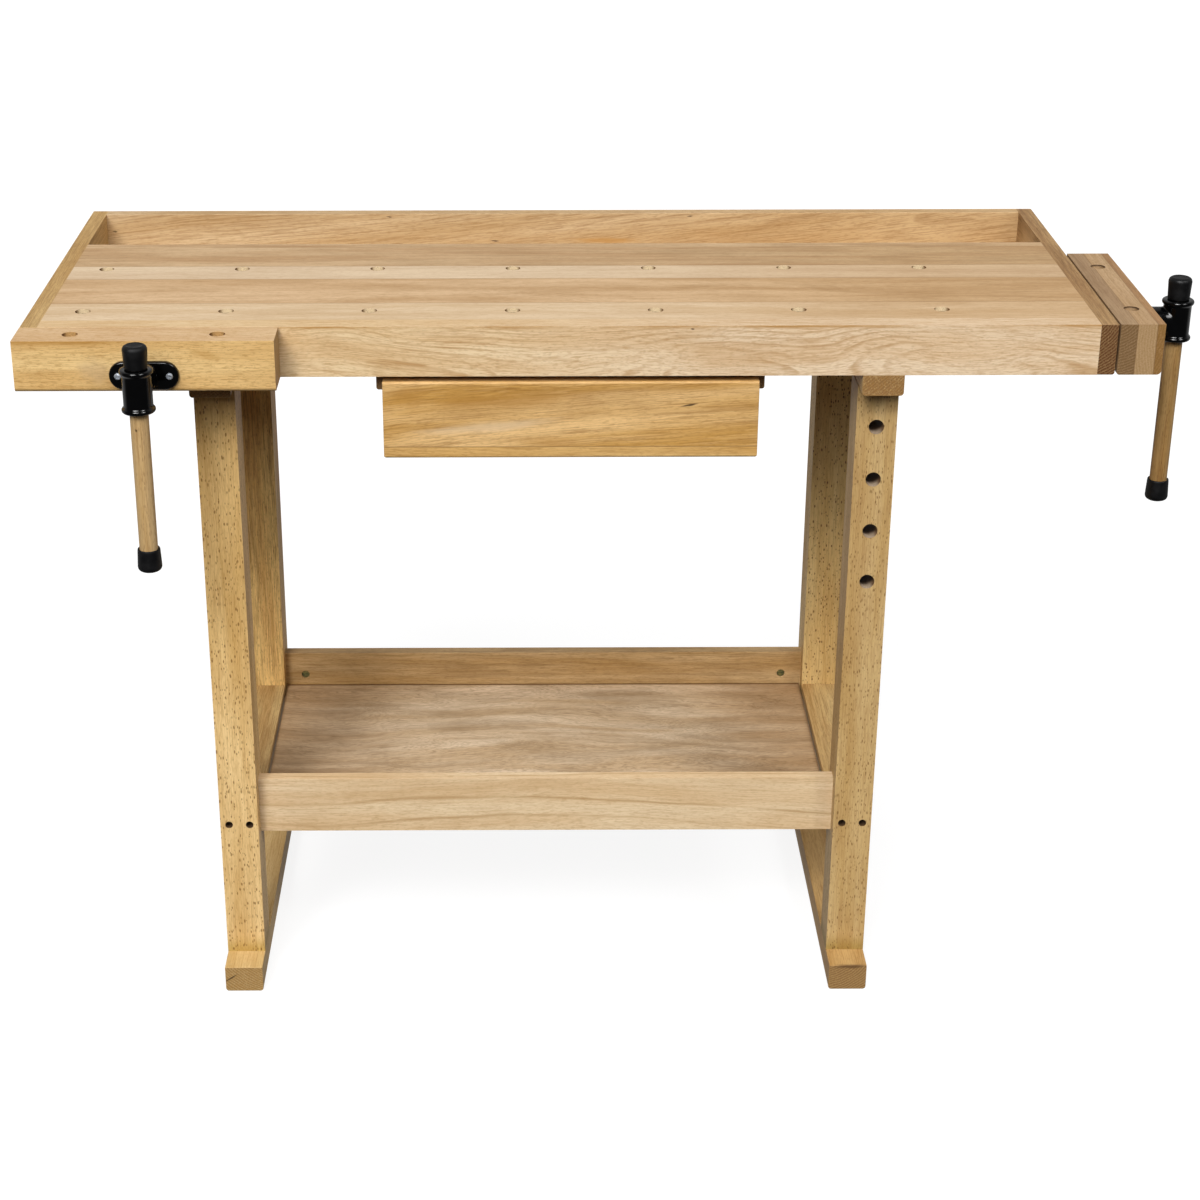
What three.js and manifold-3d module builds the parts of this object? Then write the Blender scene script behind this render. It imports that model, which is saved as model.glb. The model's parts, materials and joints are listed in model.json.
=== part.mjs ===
// Woodworking bench of beech: a worktop with dog holes and a tool tray on two trestles,
// a drawer and a low shelf, and two wooden-jawed screw vises with sliding bar handles.
// Millimetres, +Z up. X runs along the bench and Y from front to back.
import * as THREE from 'three';
import { mergeVertices } from 'three/addons/utils/BufferGeometryUtils.js';
import Module from 'manifold-3d';

const wasm = await Module();
wasm.setup();

// Worktop
const TOP_LENGTH = 1250;
const TOP_DEPTH = 512;
const BENCH_HEIGHT = 888;
const RAIL_HEIGHT = 60;
const APRON_THICK = 26;
const END_CAP_THICK = 20;
const END_CAP_EDGE_RADIUS = 3;
const TRAY_RAIL_THICK = 17;
const REAR_RAIL_THICK = 19;
const SLAB_THICK = 24;
const TRAY_WIDTH = 146;
const TRAY_FLOOR_THICK = 6;
const TRAY_FLOOR_LIP = 4; // wood left under the tray floor's groove
const GROOVE_DEPTH = 6;

// Dog holes, in two rows along the worktop and in line on the vise jaws
const DOG_HOLE_DIAMETER = 18;
const DOG_HOLE_COUNT = 7;
const DOG_FIRST = 62; // from the left end of the worktop
const DOG_PITCH = 166;
const DOG_ROW_FRONT = 61; // from the front of the apron
const DOG_ROW_SPACING = 174;

// Trestles
const LEG_WIDTH = 48;
const LEG_DEPTH = 55;
const LEFT_OVERHANG = 188; // from the left end of the worktop to the left trestle
const RIGHT_OVERHANG = 240;
const FRONT_LEG_SETBACK = 34; // from the front of the apron
const REAR_LEG_SETBACK = 50; // from the back of the rear rail
const TOE_LENGTH = 39;
const FOOT_HEIGHT = 35;
const FOOT_EDGE_RADIUS = 4;
const BEARER_HEIGHT = 25;
const BEARER_EDGE_RADIUS = 4;
const TENON_WIDTH = 20;
const TENON_SHOULDER = 10; // in front of and behind the tenon
const MORTISE_FLOOR = 11; // wood left past the end of a mortise
const STRETCHER_HEIGHT = 26;
const STRETCHER_BOTTOM = 209;
const STRETCHER_SCREW_SPACING = 26;
const STRETCHER_SCREW_BORE = 9.5;
const STRETCHER_SCREW_BORE_DEPTH = 24;
const PEG_HOLE_COUNT = 4;
const PEG_FIRST_DROP = 135; // from the worktop down to the first peg hole
const PEG_PITCH = 66;

// Shelf
const SHELF_BOTTOM = 202;
const SHELF_BOARD_HEIGHT = 74;
const SHELF_BOARD_THICK = 17;
const SHELF_BOARD_SETBACK = 20; // from the outer face of the leg
const SHELF_PLATE_RISE = 19;
const SHELF_PLATE_THICK = 6;
const SHELF_PLATE_END_GAP = 2;
const BOLT_RISE = 41;
const BOLT_DIAMETER = 6;
const BOLT_HEAD_DIAMETER = 12;
const BOLT_HEAD_HEIGHT = 5;
const BOLT_HEAD_RECESS = 7;
const BOLT_TAIL = 3; // past the barrel nut
const BARREL_NUT_DIAMETER = 11;
const BARREL_NUT_LENGTH = 13;
const BARREL_NUT_FROM_END = 28;

// Drawer and its runners
const DRAWER_OFFSET = 28; // right of the middle between the trestles
const DRAWER_FRONT_WIDTH = 434;
const DRAWER_FRONT_HEIGHT = 93;
const DRAWER_FRONT_THICK = 18;
const DRAWER_FRONT_SETBACK = 2; // from the front of the apron
const DRAWER_TOP_GAP = 7.5; // below the apron
const DRAWER_EDGE_RADIUS = 3;
const DRAWER_CORNER_RADIUS = 3;
const DRAWER_SIDE_THICK = 12;
const DRAWER_SIDE_RISE = 6; // above the lower edge of the front
const DRAWER_BACK_THICK = 12;
const DRAWER_BACK_DROP = 10; // below the top of the sides
const DRAWER_BOTTOM_THICK = 4;
const DRAWER_BOTTOM_RISE = 6; // above the lower edge of the sides
const DRAWER_BOTTOM_GROOVE = 5;
const DRAWER_END_GAP = 8; // in front of the tray rail
const LIP_WIDTH = 12;
const LIP_HEIGHT = 8;
const RUNNER_OVERHANG = 8.5; // past each end of the drawer's front
const RUNNER_WEB = 9;
const RUNNER_LEDGE = 8;
const RUNNER_DROP = 26; // below the apron
const RUNNER_END_GAP = 4;
const RUNNER_EDGE_RADIUS = 3;
const RUNNER_PLAY = 1;

// Vises
const JAW_LENGTH = 294;
const JAW_THICK = 51;
const JAW_OUTER_EDGE_RADIUS = 5;
const JAW_INNER_EDGE_RADIUS = 3;
const FRONT_JAW_GAP = 0.4;
const TAIL_JAW_GAP = 2.3;
const SPINDLE_DIAMETER = 20;
const SPINDLE_JOURNAL_DIAMETER = 16;
const SPINDLE_REACH = 190; // behind the clamping face
const SPINDLE_POINT = 3;
const SPINDLE_HOLE_PLAY = 1;
const GUIDE_ROD_DIAMETER = 16;
const GUIDE_SPACING = 112;
const GUIDE_REACH = 186;
const GUIDE_SOCKET_DEPTH = 34;
const GUIDE_HOLE_PLAY = 1;
const NUT_BOSS_DIAMETER = 30;
const NUT_BOSS_LENGTH = 34;
const NUT_HEADROOM = 0.5; // between the nut boss and the slab
const GUIDE_BOSS_DIAMETER = 26;
const GUIDE_BOSS_LENGTH = 28;
const GUIDE_PLATE_THICK = 8;
const GUIDE_PLATE_MARGIN = 12; // past the guide bosses
const ESCUTCHEON_LENGTH = 79;
const ESCUTCHEON_HEIGHT = 33;
const ESCUTCHEON_THICK = 5;
const ESCUTCHEON_BEVEL = 1.5;
const ESCUTCHEON_SCREW_SPACING = 58;
const ESCUTCHEON_SCREW_LENGTH = 18;
const ESCUTCHEON_SCREW_DIAMETER = 4;
const SCREW_HEAD_DIAMETER = 8;
const SCREW_HEAD_HEIGHT = 2.6;
const HUB_STANDOFF = 52.5; // from the jaw's face to the handle's axis
const HUB_HEIGHT = 50;
const HUB_SLEEVE_DIAMETER = 33;
const HUB_FLANGE_DIAMETER = 38;
const HUB_FLANGE_THICK = 5;
const HUB_BOSS_DIAMETER = 30;
const HUB_BOSS_FLARE = 1; // growth of the boss's radius where it meets the sleeve
const HUB_COLLAR_DIAMETER = 33;
const HUB_COLLAR_THICK = 4;
const HUB_SOCKET_DEPTH = 22;

// Bar handles with rubber caps
const HANDLE_DIAMETER = 21;
const FRONT_HANDLE_LENGTH = 268; // over both caps
const TAIL_HANDLE_LENGTH = 284;
const HANDLE_CAP_LENGTH = 27;
const HANDLE_CAP_MOUTH_DIAMETER = 26;
const HANDLE_CAP_END_DIAMETER = 28;
const HANDLE_CAP_END_WALL = 5;
const HANDLE_CAP_ROUNDING = 3;

// Clearances
const SEAT_GAP = 0.3; // between pieces that seat on each other
const TENON_PLAY = 0.3;
const BOLT_PLAY = 0.4;
const OVERSHOOT = 1; // how far a cutting tool runs past a face
const ROUND_SIDES = 20;
const SMALL_ROUND_SIDES = 12;
const ARC_STEPS = 4;

// Places worked out from the driving dimensions
const railBottom = BENCH_HEIGHT - RAIL_HEIGHT;
const slabBottom = BENCH_HEIGHT - SLAB_THICK;
const rearRailFront = TOP_DEPTH - REAR_RAIL_THICK;
const trayRailBack = rearRailFront - TRAY_WIDTH;
const trayRailFront = trayRailBack - TRAY_RAIL_THICK;
const rightCapLeft = TOP_LENGTH - END_CAP_THICK;
const bearerBottom = railBottom - BEARER_HEIGHT;
const frontLegBack = FRONT_LEG_SETBACK + LEG_DEPTH;
const rearLegBack = TOP_DEPTH - REAR_LEG_SETBACK;
const rearLegFront = rearLegBack - LEG_DEPTH;
const leftLegInner = LEFT_OVERHANG + LEG_WIDTH;
const rightLegOuter = TOP_LENGTH - RIGHT_OVERHANG;
const rightLegInner = rightLegOuter - LEG_WIDTH;
const stretcherMiddle = STRETCHER_BOTTOM + STRETCHER_HEIGHT / 2;
const drawerCentre = (leftLegInner + rightLegInner) / 2 + DRAWER_OFFSET;
const shelfFront = FRONT_LEG_SETBACK + SHELF_BOARD_SETBACK;
const shelfBack = rearLegBack - SHELF_BOARD_SETBACK;
const boltHeight = SHELF_BOTTOM + BOLT_RISE;
const screwAxisHeight = slabBottom - NUT_HEADROOM - NUT_BOSS_DIAMETER / 2;
const dogColumns = Array.from({ length: DOG_HOLE_COUNT }, (_, i) => DOG_FIRST + i * DOG_PITCH);
const dogRows = [DOG_ROW_FRONT, DOG_ROW_FRONT + DOG_ROW_SPACING];

// Solids

const X_AXIS = new THREE.Vector3(1, 0, 0);
const Y_AXIS = new THREE.Vector3(0, 1, 0);
const Z_AXIS = new THREE.Vector3(0, 0, 1);

// A box between two corners, with every face exactly on the given coordinates.
function box(low, high) {
  const size = high.map((value, i) => value - low[i]);
  const place = new THREE.Matrix4().makeTranslation(...low);
  place.multiply(new THREE.Matrix4().makeScale(...size));
  return new THREE.BoxGeometry(1, 1, 1).translate(0.5, 0.5, 0.5).applyMatrix4(place);
}

// Turns a solid of revolution from the Y axis to the named axis.
function turnTo(axis, geometry) {
  const basis = new THREE.Matrix4();
  if (axis === 'x') basis.makeBasis(Y_AXIS, X_AXIS, Z_AXIS.clone().negate());
  if (axis === 'z') basis.makeBasis(X_AXIS, Z_AXIS, Y_AXIS.clone().negate());
  return geometry.applyMatrix4(basis);
}

// Revolves [radius, place along the axis] points about an axis through the given centre.
function revolve(axis, points, centre = [0, 0, 0], sides = ROUND_SIDES) {
  const profile = points.map(([radius, along]) => new THREE.Vector2(radius, along));
  return turnTo(axis, new THREE.LatheGeometry(profile, sides)).translate(...centre);
}

// A plain round bar from one place along an axis to another, through the given centre.
function bar(axis, diameter, from, to, centre, sides = ROUND_SIDES) {
  const radius = diameter / 2;
  return revolve(axis, [[0, from], [radius, from], [radius, to], [0, to]], centre, sides);
}

// A bar with both ends chamfered.
function chamferedBar(axis, diameter, from, to, centre, chamfer) {
  const radius = diameter / 2;
  const points = [
    [0, from], [radius - chamfer, from], [radius, from + chamfer],
    [radius, to - chamfer], [radius - chamfer, to], [0, to],
  ];
  return revolve(axis, points, centre);
}

// Extrudes an outline drawn in Y and Z along X.
function extrudeAlongX(shape, from, to) {
  const basis = new THREE.Matrix4().makeBasis(Y_AXIS, Z_AXIS, X_AXIS).setPosition(from, 0, 0);
  const options = { depth: to - from, bevelEnabled: false, curveSegments: ARC_STEPS };
  return new THREE.ExtrudeGeometry(shape, options).applyMatrix4(basis);
}

// Extrudes an outline drawn in X and Z along Y.
function extrudeAlongY(shape, from, to) {
  const back = Y_AXIS.clone().negate();
  const basis = new THREE.Matrix4().makeBasis(X_AXIS, Z_AXIS, back).setPosition(0, to, 0);
  const options = { depth: to - from, bevelEnabled: false, curveSegments: ARC_STEPS };
  return new THREE.ExtrudeGeometry(shape, options).applyMatrix4(basis);
}

// A rectangle whose corners have their own radii: lower left, lower right, upper right, upper left.
function roundedRectangle(x0, x1, y0, y1, [lowerLeft, lowerRight, upperRight, upperLeft]) {
  const shape = new THREE.Shape();
  const corner = (x, y, radius, start) => {
    if (radius === 0) shape.lineTo(x, y);
    else shape.absarc(x, y, radius, start, start + Math.PI / 2, false);
  };
  shape.moveTo(x0, (y0 + y1) / 2);
  corner(x0 + lowerLeft, y0 + lowerLeft, lowerLeft, Math.PI);
  corner(x1 - lowerRight, y0 + lowerRight, lowerRight, Math.PI * 1.5);
  corner(x1 - upperRight, y1 - upperRight, upperRight, 0);
  corner(x0 + upperLeft, y1 - upperLeft, upperLeft, Math.PI / 2);
  shape.closePath();
  return shape;
}

// An outline through straight-sided points.
function polygon(points) {
  return new THREE.Shape(points.map(([x, y]) => new THREE.Vector2(x, y)));
}

// A slot-shaped outline with round ends, centred on the origin.
function stadium(length, height) {
  const radius = height / 2;
  const straight = length / 2 - radius;
  const shape = new THREE.Shape();
  shape.absarc(straight, 0, radius, -Math.PI / 2, Math.PI / 2, false);
  shape.absarc(-straight, 0, radius, Math.PI / 2, Math.PI * 1.5, false);
  shape.closePath();
  return shape;
}

function toSolid(geometry) {
  const plain = geometry.clone();
  plain.deleteAttribute('normal');
  plain.deleteAttribute('uv');
  const merged = mergeVertices(plain);
  const corners = [];
  for (let i = 0; i < merged.index.count; i += 3) {
    const triangle = [0, 1, 2].map((k) => merged.index.getX(i + k));
    if (new Set(triangle).size === 3) corners.push(...triangle);
  }
  const vertProperties = new Float32Array(merged.attributes.position.array);
  return new wasm.Manifold(new wasm.Mesh({
    numProp: 3, vertProperties, triVerts: new Uint32Array(corners),
  }));
}

function toGeometry(solid) {
  const { vertProperties, triVerts, numProp } = solid.getMesh();
  const positions = new Float32Array((vertProperties.length / numProp) * 3);
  for (let i = 0; i < positions.length / 3; i += 1) {
    for (let k = 0; k < 3; k += 1) positions[i * 3 + k] = vertProperties[i * numProp + k];
  }
  const geometry = new THREE.BufferGeometry();
  geometry.setAttribute('position', new THREE.BufferAttribute(positions, 3));
  geometry.setIndex(new THREE.BufferAttribute(new Uint32Array(triVerts), 1));
  const faceted = geometry.toNonIndexed();
  faceted.computeVertexNormals();
  return faceted;
}

function join(first, ...others) {
  return toGeometry(others.reduce((solid, other) => solid.add(toSolid(other)), toSolid(first)));
}

function cut(first, ...tools) {
  return toGeometry(tools.reduce((solid, tool) => solid.subtract(toSolid(tool)), toSolid(first)));
}

function common(first, second) {
  return toGeometry(toSolid(first).intersect(toSolid(second)));
}

// Finishes

const finish = (color, roughness, metalness) => (
  () => new THREE.MeshStandardMaterial({ color, roughness, metalness })
);
const topBeech = finish(0xd9bd93, 0.55, 0);
const capBeech = finish(0xc0935c, 0.6, 0);
const jawBeech = finish(0xd2aa6a, 0.55, 0);
const legBeech = finish(0xc9a468, 0.6, 0);
const shelfBeech = finish(0xcdb08a, 0.6, 0);
const plywood = finish(0xa98a68, 0.7, 0);
const drawerBeech = finish(0xcba36a, 0.5, 0);
const blackEnamel = finish(0x0b0b0c, 0.25, 0.2);
const blackRubber = finish(0x101012, 0.8, 0);
const dowelBeech = finish(0xb18d58, 0.6, 0);
const zinc = finish(0xb4b6b8, 0.35, 0.9);
const yellowZinc = finish(0x8d8a52, 0.4, 0.9);
const brightSteel = finish(0x9a9c9e, 0.35, 0.9);
const castIron = finish(0x2a2a2c, 0.6, 0.6);

const bench = new THREE.Group();

function addPiece(parent, name, geometry, material) {
  const mesh = new THREE.Mesh(geometry, material());
  mesh.name = name;
  parent.add(mesh);
}

// Worktop

// Holes for a vise's screw and guide rods through a wall of the worktop, in the vise's own frame:
// X outwards from the clamping face, Y along the jaw, Z up, on the screw's axis.
function viseHoles(wallThick) {
  const from = -wallThick - OVERSHOOT;
  const rodHole = GUIDE_ROD_DIAMETER + 2 * GUIDE_HOLE_PLAY;
  const rods = [-GUIDE_SPACING / 2, GUIDE_SPACING / 2];
  return [
    bar('x', SPINDLE_DIAMETER + 2 * SPINDLE_HOLE_PLAY, from, OVERSHOOT, [0, 0, 0]),
    ...rods.map((y) => bar('x', rodHole, from, OVERSHOOT, [0, y, 0])),
  ];
}

// Where each vise's frame lies on the bench.
const frontVisePlace = new THREE.Matrix4()
  .makeBasis(Y_AXIS.clone().negate(), X_AXIS, Z_AXIS)
  .setPosition(JAW_LENGTH / 2, 0, screwAxisHeight);
const tailVisePlace = new THREE.Matrix4().setPosition(TOP_LENGTH, JAW_LENGTH / 2, screwAxisHeight);

// The tray floor sits in grooves in the rails and end caps around it.
const trayFloorLow = railBottom + TRAY_FLOOR_LIP;
function trayFloorBox(growth) {
  return box(
    [END_CAP_THICK - GROOVE_DEPTH - growth, trayRailBack - GROOVE_DEPTH - growth, trayFloorLow - growth],
    [
      rightCapLeft + GROOVE_DEPTH + growth,
      rearRailFront + GROOVE_DEPTH + growth,
      trayFloorLow + TRAY_FLOOR_THICK + growth,
    ],
  );
}

function dogHole(x, y, bottom) {
  return bar('z', DOG_HOLE_DIAMETER, bottom - OVERSHOOT, BENCH_HEIGHT + OVERSHOOT, [x, y, 0]);
}

function addWorktop() {
  const slab = box(
    [END_CAP_THICK, APRON_THICK, slabBottom],
    [rightCapLeft, trayRailFront, BENCH_HEIGHT],
  );
  const holes = dogRows.flatMap((y) => dogColumns.map((x) => dogHole(x, y, slabBottom)));
  addPiece(bench, 'worktop_slab', cut(slab, ...holes), topBeech);

  const apron = box([END_CAP_THICK, 0, railBottom], [rightCapLeft, APRON_THICK, BENCH_HEIGHT]);
  const apronHoles = viseHoles(APRON_THICK).map((hole) => hole.applyMatrix4(frontVisePlace));
  addPiece(bench, 'front_apron', cut(apron, ...apronHoles), topBeech);

  const trayRail = box(
    [END_CAP_THICK, trayRailFront, railBottom],
    [rightCapLeft, trayRailBack, BENCH_HEIGHT],
  );
  addPiece(bench, 'tray_front_rail', cut(trayRail, trayFloorBox(SEAT_GAP)), topBeech);

  const rearRail = box(
    [END_CAP_THICK, rearRailFront, railBottom],
    [rightCapLeft, TOP_DEPTH, BENCH_HEIGHT],
  );
  addPiece(bench, 'rear_rail', cut(rearRail, trayFloorBox(SEAT_GAP)), topBeech);

  const leftRadii = [END_CAP_EDGE_RADIUS, 0, 0, 0];
  const leftOutline = roundedRectangle(0, END_CAP_THICK, railBottom, BENCH_HEIGHT, leftRadii);
  const leftCap = extrudeAlongY(leftOutline, 0, TOP_DEPTH);
  addPiece(bench, 'left_end_cap', cut(leftCap, trayFloorBox(SEAT_GAP)), capBeech);

  const rightRadii = [0, END_CAP_EDGE_RADIUS, 0, 0];
  const rightOutline = roundedRectangle(rightCapLeft, TOP_LENGTH, railBottom, BENCH_HEIGHT, rightRadii);
  const rightCap = extrudeAlongY(rightOutline, 0, TOP_DEPTH);
  const capHoles = viseHoles(END_CAP_THICK).map((hole) => hole.applyMatrix4(tailVisePlace));
  addPiece(bench, 'right_end_cap', cut(rightCap, trayFloorBox(SEAT_GAP), ...capHoles), capBeech);

  addPiece(bench, 'tray_floor', trayFloorBox(0), plywood);
}

// Trestles

// The stub tenon at an end of a leg, or with a growth the mortise that takes it.
function tenon(legLeft, legFront, bottom, top, growth) {
  const side = (LEG_WIDTH - TENON_WIDTH) / 2;
  return box(
    [legLeft + side - growth, legFront + TENON_SHOULDER - growth, bottom - growth],
    [
      legLeft + side + TENON_WIDTH + growth,
      legFront + LEG_DEPTH - TENON_SHOULDER + growth,
      top + growth,
    ],
  );
}

// The clearance hole of a shelf bolt: the shank's bore and the recess for its head. It enters
// the leg's outer face at outerX and runs inwards in the given direction.
function boltHole(outerX, direction, y) {
  const inside = LEG_WIDTH + BARREL_NUT_FROM_END + BARREL_NUT_DIAMETER / 2 + BOLT_TAIL + SEAT_GAP;
  const places = [-OVERSHOOT, BOLT_HEAD_RECESS, inside].map((depth) => outerX + direction * depth);
  const [start, recess, end] = places;
  const shank = BOLT_DIAMETER + 2 * BOLT_PLAY;
  const head = BOLT_HEAD_DIAMETER + 2 * BOLT_PLAY;
  const centre = [0, y, boltHeight];
  return [
    bar('x', shank, Math.min(start, end), Math.max(start, end), centre, SMALL_ROUND_SIDES),
    bar('x', head, Math.min(start, recess), Math.max(start, recess), centre, SMALL_ROUND_SIDES),
  ];
}

// The shelf boards, and with them their bolts, lie at these places through each leg.
const boltRowFront = shelfFront + SHELF_BOARD_THICK / 2;
const boltRowBack = shelfBack - SHELF_BOARD_THICK / 2;

function addTrestle(side, legLeft, outerX, inwards, hasPegHoles) {
  const legRight = legLeft + LEG_WIDTH;
  const legMiddle = legLeft + LEG_WIDTH / 2;
  const footTenonBottom = MORTISE_FLOOR;
  const bearerTenonTop = railBottom - MORTISE_FLOOR;
  const lowerTenon = (y, growth) => tenon(legLeft, y, footTenonBottom, FOOT_HEIGHT, growth);
  const upperTenon = (y, growth) => tenon(legLeft, y, bearerBottom, bearerTenonTop, growth);

  // A leg with its two tenons, its shelf bolt's hole and the stretcher's screw bores.
  const leg = (front, boltRow, boreFrom, boreTo) => {
    const post = box([legLeft, front, FOOT_HEIGHT], [legRight, front + LEG_DEPTH, bearerBottom]);
    const bores = [-1, 1].map((way) => bar(
      'y', STRETCHER_SCREW_BORE, boreFrom, boreTo,
      [legMiddle + way * STRETCHER_SCREW_SPACING / 2, 0, stretcherMiddle], SMALL_ROUND_SIDES,
    ));
    const body = join(post, lowerTenon(front, 0), upperTenon(front, 0));
    return cut(body, ...bores, ...boltHole(outerX, inwards, boltRow));
  };

  const boreEnd = FRONT_LEG_SETBACK + STRETCHER_SCREW_BORE_DEPTH;
  const pegHoles = Array.from({ length: hasPegHoles ? PEG_HOLE_COUNT : 0 }, (_, i) => bar(
    'y', DOG_HOLE_DIAMETER, FRONT_LEG_SETBACK - OVERSHOOT, frontLegBack + OVERSHOOT,
    [legMiddle, 0, BENCH_HEIGHT - PEG_FIRST_DROP - i * PEG_PITCH],
  ));
  const frontLeg = leg(FRONT_LEG_SETBACK, boltRowFront, FRONT_LEG_SETBACK - OVERSHOOT, boreEnd);
  addPiece(bench, `${side}_front_leg`, cut(frontLeg, ...pegHoles), legBeech);

  const boreStart = rearLegBack - STRETCHER_SCREW_BORE_DEPTH;
  const rearLeg = leg(rearLegFront, boltRowBack, boreStart, rearLegBack + OVERSHOOT);
  addPiece(bench, `${side}_rear_leg`, rearLeg, legBeech);

  const toeFront = FRONT_LEG_SETBACK - TOE_LENGTH;
  const toeBack = rearLegBack + TOE_LENGTH;
  const footRadii = [FOOT_EDGE_RADIUS, FOOT_EDGE_RADIUS, 0, 0];
  const footOutline = roundedRectangle(legLeft, legRight, 0, FOOT_HEIGHT, footRadii);
  const foot = extrudeAlongY(footOutline, toeFront, toeBack);
  const footMortises = [FRONT_LEG_SETBACK, rearLegFront].map((y) => lowerTenon(y, TENON_PLAY));
  addPiece(bench, `${side}_foot`, cut(foot, ...footMortises), legBeech);

  const bearerRadii = [BEARER_EDGE_RADIUS, BEARER_EDGE_RADIUS, 0, 0];
  const bearerOutline = roundedRectangle(legLeft, legRight, bearerBottom, railBottom, bearerRadii);
  const bearer = extrudeAlongY(bearerOutline, 0, TOP_DEPTH);
  const bearerMortises = [FRONT_LEG_SETBACK, rearLegFront].map((y) => upperTenon(y, TENON_PLAY));
  addPiece(bench, `${side}_bearer`, cut(bearer, ...bearerMortises), legBeech);

  const stretcher = box(
    [legLeft, frontLegBack, STRETCHER_BOTTOM],
    [legRight, rearLegFront, STRETCHER_BOTTOM + STRETCHER_HEIGHT],
  );
  addPiece(bench, `${side}_stretcher`, stretcher, legBeech);
}

// Shelf

const shelfPlateLow = SHELF_BOTTOM + SHELF_PLATE_RISE;
function shelfPlateBox(growth) {
  const front = shelfFront + SHELF_BOARD_THICK - GROOVE_DEPTH;
  const back = shelfBack - SHELF_BOARD_THICK + GROOVE_DEPTH;
  return box(
    [leftLegInner + SHELF_PLATE_END_GAP - growth, front - growth, shelfPlateLow - growth],
    [
      rightLegInner - SHELF_PLATE_END_GAP + growth,
      back + growth,
      shelfPlateLow + SHELF_PLATE_THICK + growth,
    ],
  );
}

function addShelf() {
  const ends = [
    { side: 'left', outerX: LEFT_OVERHANG, inwards: 1 },
    { side: 'right', outerX: rightLegOuter, inwards: -1 },
  ];
  const boards = [
    { name: 'front', low: shelfFront, row: boltRowFront, holeLow: 0, holeHigh: OVERSHOOT },
    { name: 'back', low: shelfBack - SHELF_BOARD_THICK, row: boltRowBack, holeLow: OVERSHOOT, holeHigh: 0 },
  ];
  const nutHoleDiameter = BARREL_NUT_DIAMETER + 2 * SEAT_GAP;
  const nutEndWall = (SHELF_BOARD_THICK - BARREL_NUT_LENGTH) / 2;
  const nutX = ({ outerX, inwards }) => outerX + inwards * (LEG_WIDTH + BARREL_NUT_FROM_END);

  for (const { name, low, row, holeLow, holeHigh } of boards) {
    const high = low + SHELF_BOARD_THICK;
    const nutLow = low + nutEndWall;
    const nutHigh = high - nutEndWall;
    // The barrel nuts go in from the inner face, so the outer face stays whole.
    const holeFrom = holeLow > 0 ? low - holeLow : nutLow - SEAT_GAP;
    const holeTo = holeHigh > 0 ? high + holeHigh : nutHigh + SEAT_GAP;
    const nutHoles = ends.map((end) => bar(
      'y', nutHoleDiameter, holeFrom, holeTo, [nutX(end), 0, boltHeight], SMALL_ROUND_SIDES,
    ));
    const boltHoles = ends.flatMap((end) => boltHole(end.outerX, end.inwards, row));
    const board = box(
      [leftLegInner, low, SHELF_BOTTOM],
      [rightLegInner, high, SHELF_BOTTOM + SHELF_BOARD_HEIGHT],
    );
    const drilled = cut(board, shelfPlateBox(SEAT_GAP), ...nutHoles, ...boltHoles);
    addPiece(bench, `shelf_${name}_board`, drilled, shelfBeech);

    for (const end of ends) {
      const barrel = bar(
        'y', BARREL_NUT_DIAMETER, nutLow, nutHigh, [nutX(end), 0, boltHeight], SMALL_ROUND_SIDES,
      );
      const [thread] = boltHole(end.outerX, end.inwards, row);
      addPiece(bench, `shelf_${name}_${end.side}_barrel_nut`, cut(barrel, thread), yellowZinc);

      const headEnd = end.outerX + end.inwards * (BOLT_HEAD_RECESS - SEAT_GAP);
      const headTop = headEnd - end.inwards * BOLT_HEAD_HEIGHT;
      const tip = nutX(end) + end.inwards * (BARREL_NUT_DIAMETER / 2 + BOLT_TAIL);
      const centre = [0, row, boltHeight];
      const shankEnds = [headTop + end.inwards, tip].sort((a, b) => a - b);
      const headEnds = [headTop, headEnd].sort((a, b) => a - b);
      const bolt = join(
        bar('x', BOLT_DIAMETER, ...shankEnds, centre, SMALL_ROUND_SIDES),
        bar('x', BOLT_HEAD_DIAMETER, ...headEnds, centre, SMALL_ROUND_SIDES),
      );
      addPiece(bench, `shelf_${name}_${end.side}_bolt`, bolt, zinc);
    }
  }
  addPiece(bench, 'shelf_plate', shelfPlateBox(0), plywood);
}

// Drawer

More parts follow.
